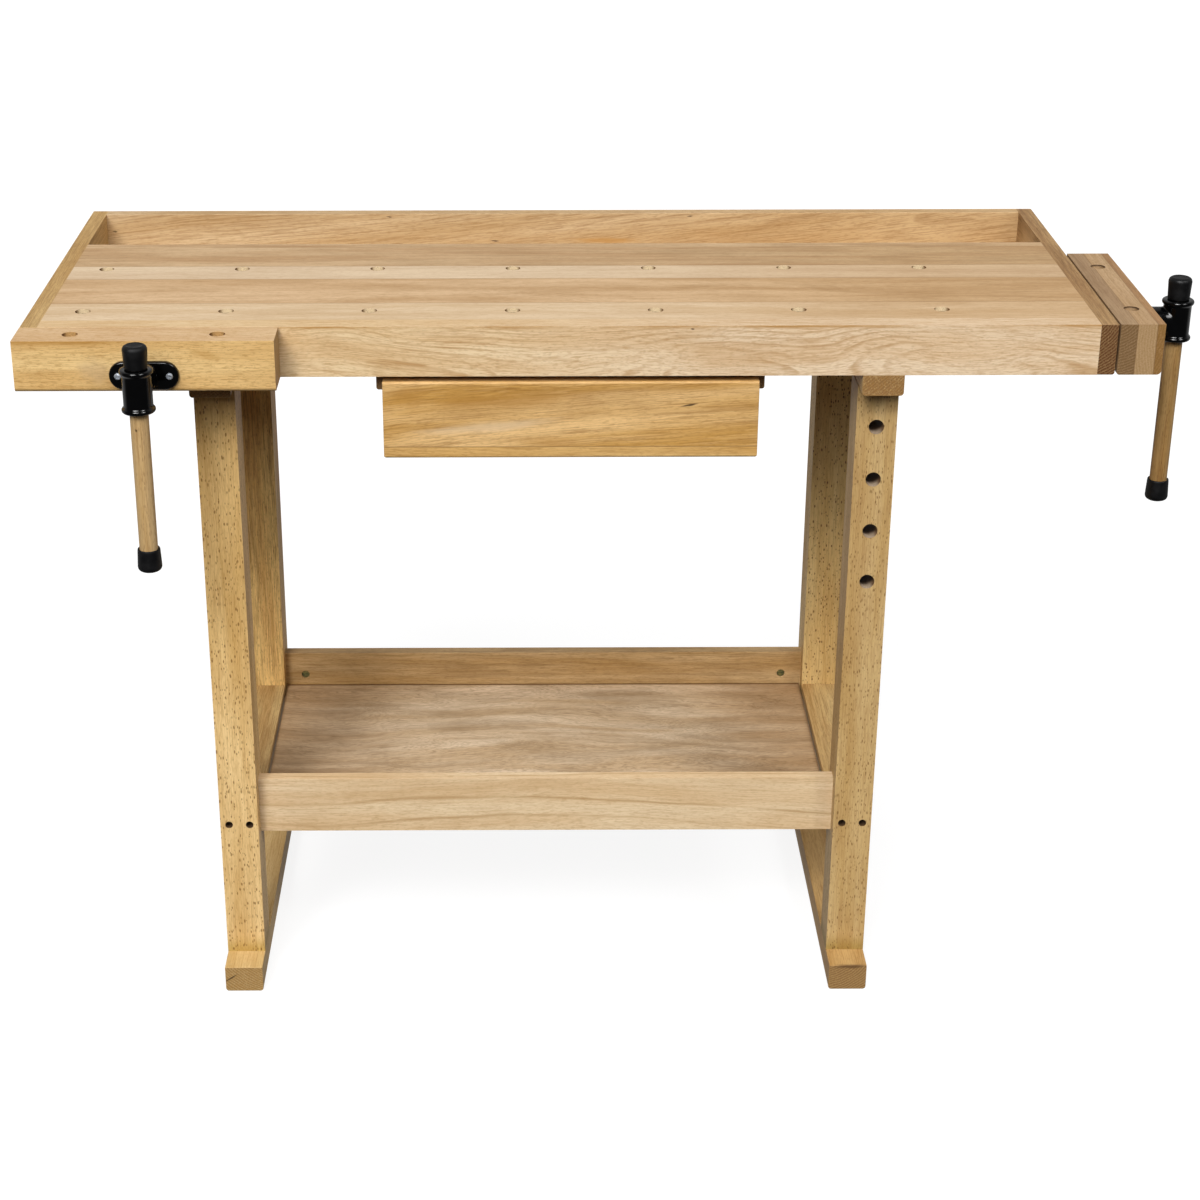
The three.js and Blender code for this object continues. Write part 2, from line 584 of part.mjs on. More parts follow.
function addDrawer() {
  const frontFace = DRAWER_FRONT_SETBACK;
  const frontBack = frontFace + DRAWER_FRONT_THICK;
  const frontTop = railBottom - DRAWER_TOP_GAP;
  const frontBottom = frontTop - DRAWER_FRONT_HEIGHT;
  const boxBack = trayRailFront - DRAWER_END_GAP;
  const runnerBottom = railBottom - RUNNER_DROP;
  const ledgeTop = runnerBottom + RUNNER_LEDGE;
  const lipBottom = ledgeTop + SEAT_GAP;
  const sideTop = lipBottom + LIP_HEIGHT;
  const sideBottom = frontBottom + DRAWER_SIDE_RISE;
  const bottomLow = sideBottom + DRAWER_BOTTOM_RISE;
  const bottomHigh = bottomLow + DRAWER_BOTTOM_THICK;

  // Distances from the drawer's centre plane, outwards.
  const runnerOuter = DRAWER_FRONT_WIDTH / 2 + RUNNER_OVERHANG;
  const runnerInner = runnerOuter - RUNNER_WEB;
  const lipOuter = runnerInner - RUNNER_PLAY;
  const sideOuter = lipOuter - LIP_WIDTH;
  const sideInner = sideOuter - DRAWER_SIDE_THICK;
  const ledgeInner = sideOuter + RUNNER_PLAY;
  const bottomHalf = sideInner + DRAWER_BOTTOM_GROOVE;

  const bottomPanel = (growth) => box(
    [drawerCentre - bottomHalf - growth, frontBack - DRAWER_BOTTOM_GROOVE - growth, bottomLow - growth],
    [drawerCentre + bottomHalf + growth, boxBack + growth, bottomHigh + growth],
  );

  // The front is rounded along its upper and lower edges and at its lower corners.
  const edges = [DRAWER_EDGE_RADIUS, 0, 0, DRAWER_EDGE_RADIUS];
  const frontOutline = roundedRectangle(frontFace, frontBack, frontBottom, frontTop, edges);
  const frontLeft = drawerCentre - DRAWER_FRONT_WIDTH / 2;
  const frontRight = drawerCentre + DRAWER_FRONT_WIDTH / 2;
  const corners = [DRAWER_CORNER_RADIUS, DRAWER_CORNER_RADIUS, 0, 0];
  const frontFaceOutline = roundedRectangle(frontLeft, frontRight, frontBottom, frontTop, corners);
  const front = common(
    extrudeAlongX(frontOutline, frontLeft, frontRight),
    extrudeAlongY(frontFaceOutline, frontFace, frontBack),
  );
  addPiece(bench, 'drawer_front', cut(front, bottomPanel(SEAT_GAP)), drawerBeech);

  const hands = [{ side: 'left', way: -1 }, { side: 'right', way: 1 }];
  for (const { side, way } of hands) {
    const at = (distance) => drawerCentre + way * distance;
    const mirrored = (points) => polygon(way > 0 ? points : [...points].reverse());

    // A side board whose lip stands out along its top edge.
    const sideOutline = mirrored([
      [at(sideInner), sideBottom], [at(sideOuter), sideBottom], [at(sideOuter), lipBottom],
      [at(lipOuter), lipBottom], [at(lipOuter), sideTop], [at(sideInner), sideTop],
    ]);
    const board = extrudeAlongY(sideOutline, frontBack, boxBack);
    addPiece(bench, `drawer_${side}_side`, cut(board, bottomPanel(SEAT_GAP)), drawerBeech);

    // A runner of L section, hung from the slab, with a ledge that carries the lip.
    const web = [at(runnerInner), at(runnerOuter)].sort((a, b) => a - b);
    const ledge = [at(ledgeInner), at(runnerOuter)].sort((a, b) => a - b);
    const from = APRON_THICK + RUNNER_END_GAP;
    const to = trayRailFront - RUNNER_END_GAP;
    const radii = way > 0 ? [0, RUNNER_EDGE_RADIUS, 0, 0] : [RUNNER_EDGE_RADIUS, 0, 0, 0];
    const ledgeOutline = roundedRectangle(...ledge, runnerBottom, ledgeTop, radii);
    const runner = join(
      box([web[0], from, runnerBottom + RUNNER_EDGE_RADIUS], [web[1], to, slabBottom]),
      extrudeAlongY(ledgeOutline, from, to),
    );
    addPiece(bench, `${side}_runner`, runner, drawerBeech);
  }

  const back = box(
    [drawerCentre - sideInner, boxBack - DRAWER_BACK_THICK, bottomHigh + SEAT_GAP],
    [drawerCentre + sideInner, boxBack, sideTop - DRAWER_BACK_DROP],
  );
  addPiece(bench, 'drawer_back', back, drawerBeech);
  addPiece(bench, 'drawer_bottom', bottomPanel(0), plywood);
}

// Vises

// The cast tee that turns the screw: an upright sleeve for the handle on a flared boss.
function hubGeometry(collarFace, handleX) {
  const half = HUB_HEIGHT / 2;
  const sleeve = HUB_SLEEVE_DIAMETER / 2;
  const flange = HUB_FLANGE_DIAMETER / 2;
  const edge = HUB_FLANGE_THICK / 3;
  const inner = half - HUB_FLANGE_THICK;
  const upperHalf = [
    [sleeve, inner - edge], [flange - edge, inner], [flange, inner + edge],
    [flange, half - edge], [flange - edge, half],
  ];
  const lowerHalf = upperHalf.map(([radius, along]) => [radius, -along]).reverse();
  const sleeveProfile = [[0, -half], ...lowerHalf, ...upperHalf, [0, half]];
  const body = revolve('z', sleeveProfile, [handleX, 0, 0]);

  const boss = HUB_BOSS_DIAMETER / 2;
  const collar = HUB_COLLAR_DIAMETER / 2;
  const collarEnd = collarFace + HUB_COLLAR_THICK;
  const flareStart = handleX - sleeve - HUB_BOSS_FLARE * 2;
  const bossProfile = [
    [0, collarFace], [collar - 1, collarFace], [collar, collarFace + 1],
    [collar, collarEnd - 1], [collar - 1, collarEnd], [boss, collarEnd + 1],
    [boss, flareStart], [boss + HUB_BOSS_FLARE / 4, flareStart + HUB_BOSS_FLARE],
    [boss + HUB_BOSS_FLARE, handleX - sleeve / 2], [0, handleX],
  ];
  const bore = HANDLE_DIAMETER + 2 * BOLT_PLAY;
  const socket = SPINDLE_JOURNAL_DIAMETER + 2 * SEAT_GAP;
  return cut(
    join(body, revolve('x', bossProfile)),
    bar('z', bore, -half - OVERSHOOT, half + OVERSHOOT, [handleX, 0, 0]),
    bar('x', socket, collarFace - OVERSHOOT, collarFace + HUB_SOCKET_DEPTH, [0, 0, 0]),
  );
}

// A rubber cap pulled over an end of the handle. The mouth lies at the given height and the cap
// closes in the direction of way.
function handleCap(handleX, mouth, way) {
  const inside = HANDLE_DIAMETER / 2 + SEAT_GAP;
  const mouthRadius = HANDLE_CAP_MOUTH_DIAMETER / 2;
  const endRadius = HANDLE_CAP_END_DIAMETER / 2;
  const rounding = HANDLE_CAP_ROUNDING;
  const points = [
    [0, HANDLE_CAP_LENGTH - HANDLE_CAP_END_WALL],
    [inside, HANDLE_CAP_LENGTH - HANDLE_CAP_END_WALL],
    [inside, 0],
    [mouthRadius - 1, 0],
    [mouthRadius, 1],
  ];
  for (let i = 0; i <= ARC_STEPS; i += 1) {
    const angle = (i / ARC_STEPS) * (Math.PI / 2);
    points.push([
      endRadius - rounding + rounding * Math.cos(angle),
      HANDLE_CAP_LENGTH - rounding + rounding * Math.sin(angle),
    ]);
  }
  points.push([0, HANDLE_CAP_LENGTH]);
  const placed = points.map(([radius, along]) => [radius, mouth + way * along]);
  return revolve('z', way > 0 ? placed : placed.reverse(), [handleX, 0, 0]);
}

// The casting behind the bench's wall: a plate with the nut's boss and two guide bosses.
function guideCasting(wallThick) {
  const plateLength = GUIDE_SPACING + GUIDE_BOSS_DIAMETER + 2 * GUIDE_PLATE_MARGIN;
  const plateFace = -wallThick - SEAT_GAP;
  const plateBack = plateFace - GUIDE_PLATE_THICK;
  const plate = extrudeAlongX(stadium(plateLength, NUT_BOSS_DIAMETER), plateBack, plateFace);
  const rods = [-GUIDE_SPACING / 2, GUIDE_SPACING / 2];
  const overlap = plateBack + GUIDE_PLATE_THICK / 2;
  const guides = rods.map((y) => (
    bar('x', GUIDE_BOSS_DIAMETER, plateBack - GUIDE_BOSS_LENGTH, overlap, [0, y, 0])
  ));
  const nut = bar('x', NUT_BOSS_DIAMETER - SEAT_GAP, plateBack - NUT_BOSS_LENGTH, overlap, [0, 0, 0]);
  const boreEnd = plateBack - NUT_BOSS_LENGTH - OVERSHOOT;
  const rodBore = GUIDE_ROD_DIAMETER + 2 * BOLT_PLAY;
  return cut(
    join(plate, nut, ...guides),
    bar('x', SPINDLE_DIAMETER + 2 * BOLT_PLAY, boreEnd, OVERSHOOT, [0, 0, 0]),
    ...rods.map((y) => bar('x', rodBore, boreEnd, OVERSHOOT, [0, y, 0])),
  );
}

// One vise in its own frame: X outwards from the clamping face, Y along the jaw, Z up, with the
// origin on the screw's axis. dogOffsets are the jaw's dog holes along the jaw from its middle.
function addVise({ name, place, wallThick, jawGap, dogOffsets, handleLength }) {
  const vise = new THREE.Group();
  vise.applyMatrix4(place);
  bench.add(vise);

  const jawFace = jawGap + JAW_THICK;
  const jawTop = BENCH_HEIGHT - screwAxisHeight;
  const jawBottom = railBottom - screwAxisHeight;
  const rods = [-GUIDE_SPACING / 2, GUIDE_SPACING / 2];
  const screwOffsets = [-ESCUTCHEON_SCREW_SPACING / 2, ESCUTCHEON_SCREW_SPACING / 2];
  const plateFace = jawFace + SEAT_GAP + ESCUTCHEON_THICK;
  const socketEnd = jawGap + GUIDE_SOCKET_DEPTH;

  // Jaw, rounded along its lower edges
  const jawRadii = [JAW_INNER_EDGE_RADIUS, JAW_OUTER_EDGE_RADIUS, 0, 0];
  const jawOutline = roundedRectangle(jawGap, jawFace, jawBottom, jawTop, jawRadii);
  const jawBlock = extrudeAlongY(jawOutline, -JAW_LENGTH / 2, JAW_LENGTH / 2);
  const spindleHole = SPINDLE_DIAMETER + 2 * SPINDLE_HOLE_PLAY;
  const screwHole = ESCUTCHEON_SCREW_DIAMETER + 2 * SEAT_GAP;
  const screwTip = jawFace - ESCUTCHEON_SCREW_LENGTH;
  const jaw = cut(
    jawBlock,
    ...dogOffsets.map((y) => bar(
      'z', DOG_HOLE_DIAMETER, jawBottom - OVERSHOOT, jawTop + OVERSHOOT,
      [jawGap + JAW_THICK / 2, y, 0],
    )),
    bar('x', spindleHole, jawGap - OVERSHOOT, jawFace + OVERSHOOT, [0, 0, 0]),
    ...rods.map((y) => (
      bar('x', GUIDE_ROD_DIAMETER + 2 * SEAT_GAP, jawGap - OVERSHOOT, socketEnd, [0, y, 0])
    )),
    ...screwOffsets.map((y) => (
      bar('x', screwHole, screwTip - SEAT_GAP, jawFace + OVERSHOOT, [0, y, 0], SMALL_ROUND_SIDES)
    )),
  );
  addPiece(vise, `${name}_jaw`, jaw, jawBeech);

  // Escutcheon plate with a bevelled rim, and its two pan-head screws
  const rim = ESCUTCHEON_THICK - ESCUTCHEON_BEVEL;
  const plateBack = jawFace + SEAT_GAP;
  const lower = extrudeAlongX(stadium(ESCUTCHEON_LENGTH, ESCUTCHEON_HEIGHT), plateBack, plateBack + rim);
  const inset = 2 * ESCUTCHEON_BEVEL;
  const upperOutline = stadium(ESCUTCHEON_LENGTH - inset, ESCUTCHEON_HEIGHT - inset);
  const upper = extrudeAlongX(upperOutline, plateBack + rim / 2, plateFace);
  const journalHole = SPINDLE_JOURNAL_DIAMETER + SPINDLE_HOLE_PLAY;
  const escutcheon = cut(
    join(lower, upper),
    bar('x', journalHole, jawFace - OVERSHOOT, plateFace + OVERSHOOT, [0, 0, 0]),
    ...screwOffsets.map((y) => (
      bar('x', screwHole, jawFace - OVERSHOOT, plateFace + OVERSHOOT, [0, y, 0], SMALL_ROUND_SIDES)
    )),
  );
  addPiece(vise, `${name}_escutcheon`, escutcheon, blackEnamel);
  screwOffsets.forEach((y, i) => {
    const head = SCREW_HEAD_DIAMETER / 2;
    const shank = ESCUTCHEON_SCREW_DIAMETER / 2;
    const seat = plateFace + SEAT_GAP;
    const profile = [
      [0, screwTip], [shank / 2, screwTip], [shank, screwTip + 2 * shank], [shank, seat],
      [head, seat], [head, seat + SCREW_HEAD_HEIGHT / 3],
      [head * 0.8, seat + SCREW_HEAD_HEIGHT * 0.8], [head * 0.45, seat + SCREW_HEAD_HEIGHT],
      [0, seat + SCREW_HEAD_HEIGHT],
    ];
    const screw = revolve('x', profile, [0, y, 0], SMALL_ROUND_SIDES);
    addPiece(vise, `${name}_escutcheon_screw_${i + 1}`, screw, zinc);
  });

  // Screw spindle: its shoulder pulls the plate from behind and the hub's collar pushes it
  const collarFace = plateFace + SEAT_GAP;
  const journal = SPINDLE_JOURNAL_DIAMETER / 2;
  const spindle = SPINDLE_DIAMETER / 2;
  const journalEnd = collarFace + HUB_SOCKET_DEPTH - SEAT_GAP;
  const spindleProfile = [
    [0, -SPINDLE_REACH], [spindle - SPINDLE_POINT, -SPINDLE_REACH],
    [spindle, SPINDLE_POINT - SPINDLE_REACH], [spindle, jawFace],
    [journal, jawFace], [journal, journalEnd], [0, journalEnd],
  ];
  addPiece(vise, `${name}_screw_spindle`, revolve('x', spindleProfile), brightSteel);

  const handleX = jawFace + HUB_STANDOFF;
  addPiece(vise, `${name}_hub`, hubGeometry(collarFace, handleX), blackEnamel);

  // Bar handle, hanging by its upper cap
  const upperMouth = HUB_HEIGHT / 2 + SEAT_GAP;
  const lowerMouth = upperMouth - (handleLength - 2 * HANDLE_CAP_LENGTH);
  const inCap = HANDLE_CAP_LENGTH - HANDLE_CAP_END_WALL - SEAT_GAP;
  const dowel = chamferedBar(
    'z', HANDLE_DIAMETER, lowerMouth - inCap, upperMouth + inCap, [handleX, 0, 0], 1,
  );
  addPiece(vise, `${name}_handle_dowel`, dowel, dowelBeech);
  addPiece(vise, `${name}_handle_upper_cap`, handleCap(handleX, upperMouth, 1), blackRubber);
  addPiece(vise, `${name}_handle_lower_cap`, handleCap(handleX, lowerMouth, -1), blackRubber);

  // Guide rods fixed in the jaw, and the casting that they slide in
  rods.forEach((y, i) => {
    const rod = chamferedBar('x', GUIDE_ROD_DIAMETER, -GUIDE_REACH, socketEnd - SEAT_GAP, [0, y, 0], 1);
    addPiece(vise, `${name}_guide_rod_${i + 1}`, rod, brightSteel);
  });
  addPiece(vise, `${name}_guide_casting`, guideCasting(wallThick), castIron);
}

addWorktop();
addTrestle('left', LEFT_OVERHANG, LEFT_OVERHANG, 1, false);
addTrestle('right', rightLegInner, rightLegOuter, -1, true);
addShelf();
addDrawer();
const frontDogs = dogColumns.filter((x) => x < JAW_LENGTH - DOG_HOLE_DIAMETER);
addVise({
  name: 'front',
  place: frontVisePlace,
  wallThick: APRON_THICK,
  jawGap: FRONT_JAW_GAP,
  dogOffsets: frontDogs.map((x) => x - JAW_LENGTH / 2),
  handleLength: FRONT_HANDLE_LENGTH,
});
addVise({
  name: 'tail',
  place: tailVisePlace,
  wallThick: END_CAP_THICK,
  jawGap: TAIL_JAW_GAP,
  dogOffsets: dogRows.map((y) => y - JAW_LENGTH / 2),
  handleLength: TAIL_HANDLE_LENGTH,
});

// The origin lies on the floor, in the middle of the bench's overall length and depth.
const reach = JAW_THICK + HUB_STANDOFF + HUB_FLANGE_DIAMETER / 2;
const overallLength = TOP_LENGTH + TAIL_JAW_GAP + reach;
const frontReach = FRONT_JAW_GAP + reach;
bench.position.set(-overallLength / 2, (frontReach - TOP_DEPTH) / 2, 0);

export default bench;
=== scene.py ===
import json
import math
from collections import namedtuple

import bmesh
import bpy
from mathutils import Matrix, Vector


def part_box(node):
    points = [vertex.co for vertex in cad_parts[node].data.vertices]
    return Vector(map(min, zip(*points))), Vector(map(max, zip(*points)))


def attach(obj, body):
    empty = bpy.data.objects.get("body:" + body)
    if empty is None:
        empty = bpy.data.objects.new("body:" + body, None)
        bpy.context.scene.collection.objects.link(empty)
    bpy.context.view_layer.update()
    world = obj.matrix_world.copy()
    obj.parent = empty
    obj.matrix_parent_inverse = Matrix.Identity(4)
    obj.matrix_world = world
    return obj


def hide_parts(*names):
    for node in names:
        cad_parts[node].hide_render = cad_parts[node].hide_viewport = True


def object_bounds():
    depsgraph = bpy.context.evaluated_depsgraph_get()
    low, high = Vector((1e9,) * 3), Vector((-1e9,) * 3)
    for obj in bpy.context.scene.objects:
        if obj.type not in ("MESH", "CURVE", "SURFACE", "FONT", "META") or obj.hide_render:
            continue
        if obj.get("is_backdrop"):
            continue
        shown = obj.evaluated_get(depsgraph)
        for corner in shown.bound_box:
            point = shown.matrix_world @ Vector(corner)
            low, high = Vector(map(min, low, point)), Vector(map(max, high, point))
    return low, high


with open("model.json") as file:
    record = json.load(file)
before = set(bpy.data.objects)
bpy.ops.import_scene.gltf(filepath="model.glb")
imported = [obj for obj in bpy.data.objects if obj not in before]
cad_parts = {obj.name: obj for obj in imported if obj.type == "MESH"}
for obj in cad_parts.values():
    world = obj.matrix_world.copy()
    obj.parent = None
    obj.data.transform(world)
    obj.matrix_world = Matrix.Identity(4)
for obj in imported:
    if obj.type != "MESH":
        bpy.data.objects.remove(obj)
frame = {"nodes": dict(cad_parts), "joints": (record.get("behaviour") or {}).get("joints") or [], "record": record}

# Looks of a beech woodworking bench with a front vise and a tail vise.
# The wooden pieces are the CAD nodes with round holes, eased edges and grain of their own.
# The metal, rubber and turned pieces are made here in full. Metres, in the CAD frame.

cad_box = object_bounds()

MM = 0.001
WELD = 0.01 * MM
FLAT = math.radians(0.5)
SHARP = math.radians(40)
HOLE_SIDES = 64
LATHE_SIDES = 72
SMALL_LATHE_SIDES = 32
AXES = "xyz"

NODES = frame["nodes"]
SLOTS = {row["node"]: row["material_slot"] for row in frame["record"]["subparts"]}
BODIES = {
    node: body
    for body, nodes in frame["record"]["behaviour"]["bodies"].items()
    for node in nodes
}
OPENINGS = {row["name"]: row["box_m"] for row in frame["record"]["physics"]["openings"]}
JOINTS = {row["name"]: row for row in frame["joints"]}
LEFT_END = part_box("left_end_cap")[0].x
RIGHT_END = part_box("right_end_cap")[1].x
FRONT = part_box("front_apron")[0].y
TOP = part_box("front_apron")[1].z


# Colour and shader helpers


def colour(hex_code):
    """A hex colour as the linear values that shaders use."""
    values = []
    for start in (0, 2, 4):
        share = int(hex_code[start:start + 2], 16) / 255
        values.append(share / 12.92 if share <= 0.04045 else ((share + 0.055) / 1.055) ** 2.4)
    return (*values, 1.0)


class Shader:
    """The nodes of a new material or world, added and joined one call at a time."""

    def __init__(self, name, owners=bpy.data.materials, surface="Principled BSDF"):
        self.owner = owners.new(name)
        self.owner.use_nodes = True
        self.tree = self.owner.node_tree
        self.surface = self.tree.nodes[surface]
        self.places = self.add("ShaderNodeTexCoord").outputs

    def add(self, kind, inputs=(), **settings):
        """A new node, whose inputs are given by name or number."""
        node = self.tree.nodes.new(kind)
        for name, value in settings.items():
            setattr(node, name, value)
        for name, value in dict(inputs).items():
            self.feed(node.inputs[name], value)
        return node

    def feed(self, socket, value):
        """Links a socket or sets its value, where text is a hex colour."""
        if isinstance(value, bpy.types.NodeSocket):
            self.tree.links.new(value, socket)
        else:
            socket.default_value = colour(value) if isinstance(value, str) else value

    def set(self, **values):
        for name, value in values.items():
            self.feed(self.surface.inputs[name.replace("_", " ")], value)

    def math(self, operation, *values):
        return self.add("ShaderNodeMath", enumerate(values), operation=operation).outputs[0]

    def times(self, first, second):
        return self.math("MULTIPLY", first, second)

    def gap(self, first, second):
        """How far two values lie apart."""
        return self.math("ABSOLUTE", self.math("SUBTRACT", first, second))

    def vector(self, operation, *values):
        node = self.add("ShaderNodeVectorMath", enumerate(values), operation=operation)
        return node.outputs["Value" if operation == "LENGTH" else "Vector"]

    def split(self, vector):
        return self.add("ShaderNodeSeparateXYZ", {"Vector": vector}).outputs

    def joined(self, x, y, z):
        return self.add("ShaderNodeCombineXYZ", {"X": x, "Y": y, "Z": z}).outputs[0]

    def mix(self, factor, first, second, blend="MIX"):
        inputs = {0: factor, 6: first, 7: second}
        return self.add("ShaderNodeMix", inputs, data_type="RGBA", blend_type=blend).outputs[2]

    def ramp(self, value, low, high, start=0.0, end=1.0, kind="SMOOTHSTEP"):
        """A step of value from low to high, giving start to end."""
        inputs = {"Value": value, "From Min": low, "From Max": high, "To Min": start, "To Max": end}
        return self.add("ShaderNodeMapRange", inputs, interpolation_type=kind).outputs["Result"]

    def noise(self, vector, scale=1.0, detail=2.0):
        inputs = {"Vector": vector, "Scale": scale, "Detail": detail}
        return self.add("ShaderNodeTexNoise", inputs).outputs

    def speckle(self, scale, detail=2.0):
        """Noise at the piece's own places."""
        return self.noise(self.places["Object"], scale, detail)["Fac"]

    def bump(self, height, strength, distance):
        inputs = {"Height": height, "Strength": strength, "Distance": distance}
        self.set(Normal=self.add("ShaderNodeBump", inputs).outputs["Normal"])


# Wood

# Each look gives the two tones that a board drifts between, and the colours of its darker lines, its
# flecks, its end grain, and its upward faces where they differ: painted sheen and shade, the same wood in
# the colour it shows on top under the lamps. Other values say how strongly a feature shows, from
# 0 to 1: smoke is soft clouds, bands are growth bands, rings are their marks on end grain, threads are
# fine wavy lines, and fibre and dashes are finer still. A band starts at its onset, a share of the bands'
# spacing. Lengths are in millimetres: the bands' spacing, how far they wander and over what length (sway),
# the waves' reach, and a fleck's cell along and across the grain. The slope is the grain's rise.
PLAIN_LOOK = dict(
    fleck="7A5730", end="A88558", smoke=0.25, bands=0.3, rings=0.3, threads=0.3, fibre=0.25, dashes=0.25,
    flecks=0.1, onset=0.25, spacing=10.0, wander=26.0, sway=700.0, wave=3.0, slope=0.0, cell=(6.0, 2.2),
)
LEG = dict(smoke=0.18, bands=0.12, threads=0.14, fibre=0.4, spacing=9.0, wander=12.0, wave=5.0)
FOOT = dict(smoke=0.18, bands=0.12, fibre=0.4, wander=8.0)
CAP = dict(fibre=0.4, flecks=0.2, spacing=6.0, wander=12.0)
DOWEL = dict(fibre=0.45, flecks=0.4, spacing=5.0, wander=5.0, cell=(9.0, 2.2))


def beech(light, dark, line, **own):
    return {**PLAIN_LOOK, "light": light, "dark": dark, "line": line, **own}


LOOKS = {
    "top_light": beech(
        "DCC4A3", "CEB28C", "A98454", smoke=0.2, bands=0.12, threads=0.16, fibre=0.3, spacing=9.0,
        wander=36.0,
    ),
    "top_tan": beech(
        "D3B28A", "BD996E", "96703F", smoke=0.24, bands=0.26, threads=0.2, fibre=0.3, onset=0.6,
        spacing=14.0, wander=60.0, sway=420.0, slope=-0.03,
    ),
    "top_pink": beech(
        "D8C1A1", "CBB191", "A98862", smoke=0.2, bands=0.1, threads=0.16, fibre=0.3, spacing=8.0,
    ),
    "top_brown": beech(
        "CBAC84", "B48F65", "86653B", smoke=0.26, bands=0.22, threads=0.22, fibre=0.3, spacing=8.0,
        wander=24.0,
    ),
    "apron": beech(
        "E9D2B2", "DCBD96", "A87A40", fleck="7E5A30", smoke=0.16, bands=0.5, threads=0.14, fibre=0.4,
        flecks=0.15, onset=0.5, spacing=3.8, wander=42.0, sway=260.0, wave=2.5, top="D6BC9A",
    ),
    "rail": beech(
        "CDB189", "BC9B6E", "8A6230", smoke=0.12, bands=0.42, threads=0.16, fibre=0.45, flecks=0.0,
        onset=0.5, spacing=3.8, sway=420.0, wave=2.2, slope=0.1,
    ),
    "jaw": beech(
        "EAC88B", "D8AD6C", "A97A38", fleck="8F6733", smoke=0.2, bands=0.18, threads=0.12, fibre=0.35,
        dashes=0.45, flecks=0.25, spacing=15.0, wave=4.0, cell=(3.2, 1.3), top="CBAD8B",
    ),
    "left_front_leg": beech(
        "EFCE94", "DBB475", "A97A38", **LEG, fleck="7C5218", end="A08054", flecks=0.8, cell=(7.0, 2.6),
    ),
    "right_front_leg": beech(
        "CDAE78", "BC985E", "987040", **LEG, fleck="6C4718", flecks=0.7, cell=(6.4, 2.3),
    ),
    "left_rear_leg": beech(
        "EEC981", "CC9C58", "7E5826", fleck="6E4520", fibre=0.6, flecks=0.35, onset=0.5, spacing=4.0,
        wander=10.0,
    ),
    "right_rear_leg": beech(
        "E2C588", "CBA463", "987440", fleck="5E3A14", bands=0.12, threads=0.2, fibre=0.35, flecks=0.85,
        spacing=7.0, wander=10.0, cell=(5.8, 2.6),
    ),
    "left_foot": beech("D6B881", "C4A166", "A97A38", **FOOT, end="947344", rings=0.4),
    "right_foot": beech("C4A068", "B48B51", "8E6634", **FOOT, end="83623A", rings=0.5),
    "stretcher": beech(
        "D0B279", "B68F57", "7E5826", fibre=0.5, flecks=0.05, onset=0.5, spacing=4.0, wander=10.0,
    ),
    "shelf": beech(
        "E2CAA5", "D5B68C", "A9824F", smoke=0.16, bands=0.6, threads=0.12, fibre=0.3, onset=0.78,
        spacing=19.0, wander=52.0, sway=420.0, wave=2.0,
    ),
    "back_board": beech(
        "C3A374", "A6804B", "6E4E24", smoke=0.35, bands=0.35, threads=0.2, fibre=0.35, flecks=0.15,
        onset=0.6, wander=22.0,
    ),
    "drawer": beech(
        "E6BE82", "C5954A", "8E6022", threads=0.22, fibre=0.45, onset=0.5, spacing=9.0, wander=34.0,
        sway=420.0, wave=2.0, slope=0.09,
    ),
    "drawer_strip": beech(
        "DEB574", "CB9D57", "A07234", bands=0.2, threads=0.25, fibre=0.45, spacing=9.0,
    ),
    "drawer_box": beech("D2AE7A", "BF955E", "9C6F38", bands=0.35, flecks=0.2),
    # Painted shade: the runners are dark brown, as they sit in shade under the apron
    "runner": beech("8A6238", "6E4B29", "4E3218"),
    "plate": beech(
        "DBC3A4", "C0A27C", "7E6340", smoke=0.34, threads=0.2, fibre=0.45, flecks=0.05, spacing=20.0,
        wander=90.0, sway=300.0, wave=8.0, cell=(9.0, 2.4),
    ),
    "left_cap": beech("C7A56C", "AE884F", "7E5A2C", **CAP, end="7E5A36"),
    "right_cap": beech(
        "B39060", "997346", "684722", **CAP, end="542C0A", rings=0.45, bands=0.35, threads=0.35,
    ),
    "bearer": beech(
        "DCB97C", "CCA563", "A97A38", fleck="6E441B", flecks=0.5, end="835F35", rings=0.14,
    ),
    "tail_grey": beech("AA8C68", "977856", "725533", end="72542F", rings=0.4, wander=8.0),
    "tail_pale": beech(
        "BB9B75", "AD8B63", "8C6A3B", end="A4845B", rings=0.45, flecks=0.5, cell=(4.0, 1.6), wander=8.0,
    ),
    "tail_red": beech("A98257", "977148", "744F28", end="89642F", wander=8.0),
    "front_dowel": beech("DBBD8C", "C09C66", "946C3C", **DOWEL, fleck="70491F", threads=0.25),
    "tail_dowel": beech("B4905A", "9A723B", "735026", **DOWEL, fleck="5C3B1A"),
}
DARK_MARK = "3F2712"
EDGE_STAIN = "B07E36"
# Brown of torn fibres in a hole's wall, and of the painted shade deep in it
BORE_TEAR_AND_DEPTH_SHADE = "46301B"
# Colour of the dark glue lines between boards, and of the painted contact shade on the shelf plate
SEAM_AND_CONTACT_SHADE = "6E4F2C"
END_RING = 3.2          # spacing of the rings on end grain, in millimetres
SEED_STEP = 1.731       # how far apart along the grain two boards are cut from the same noise

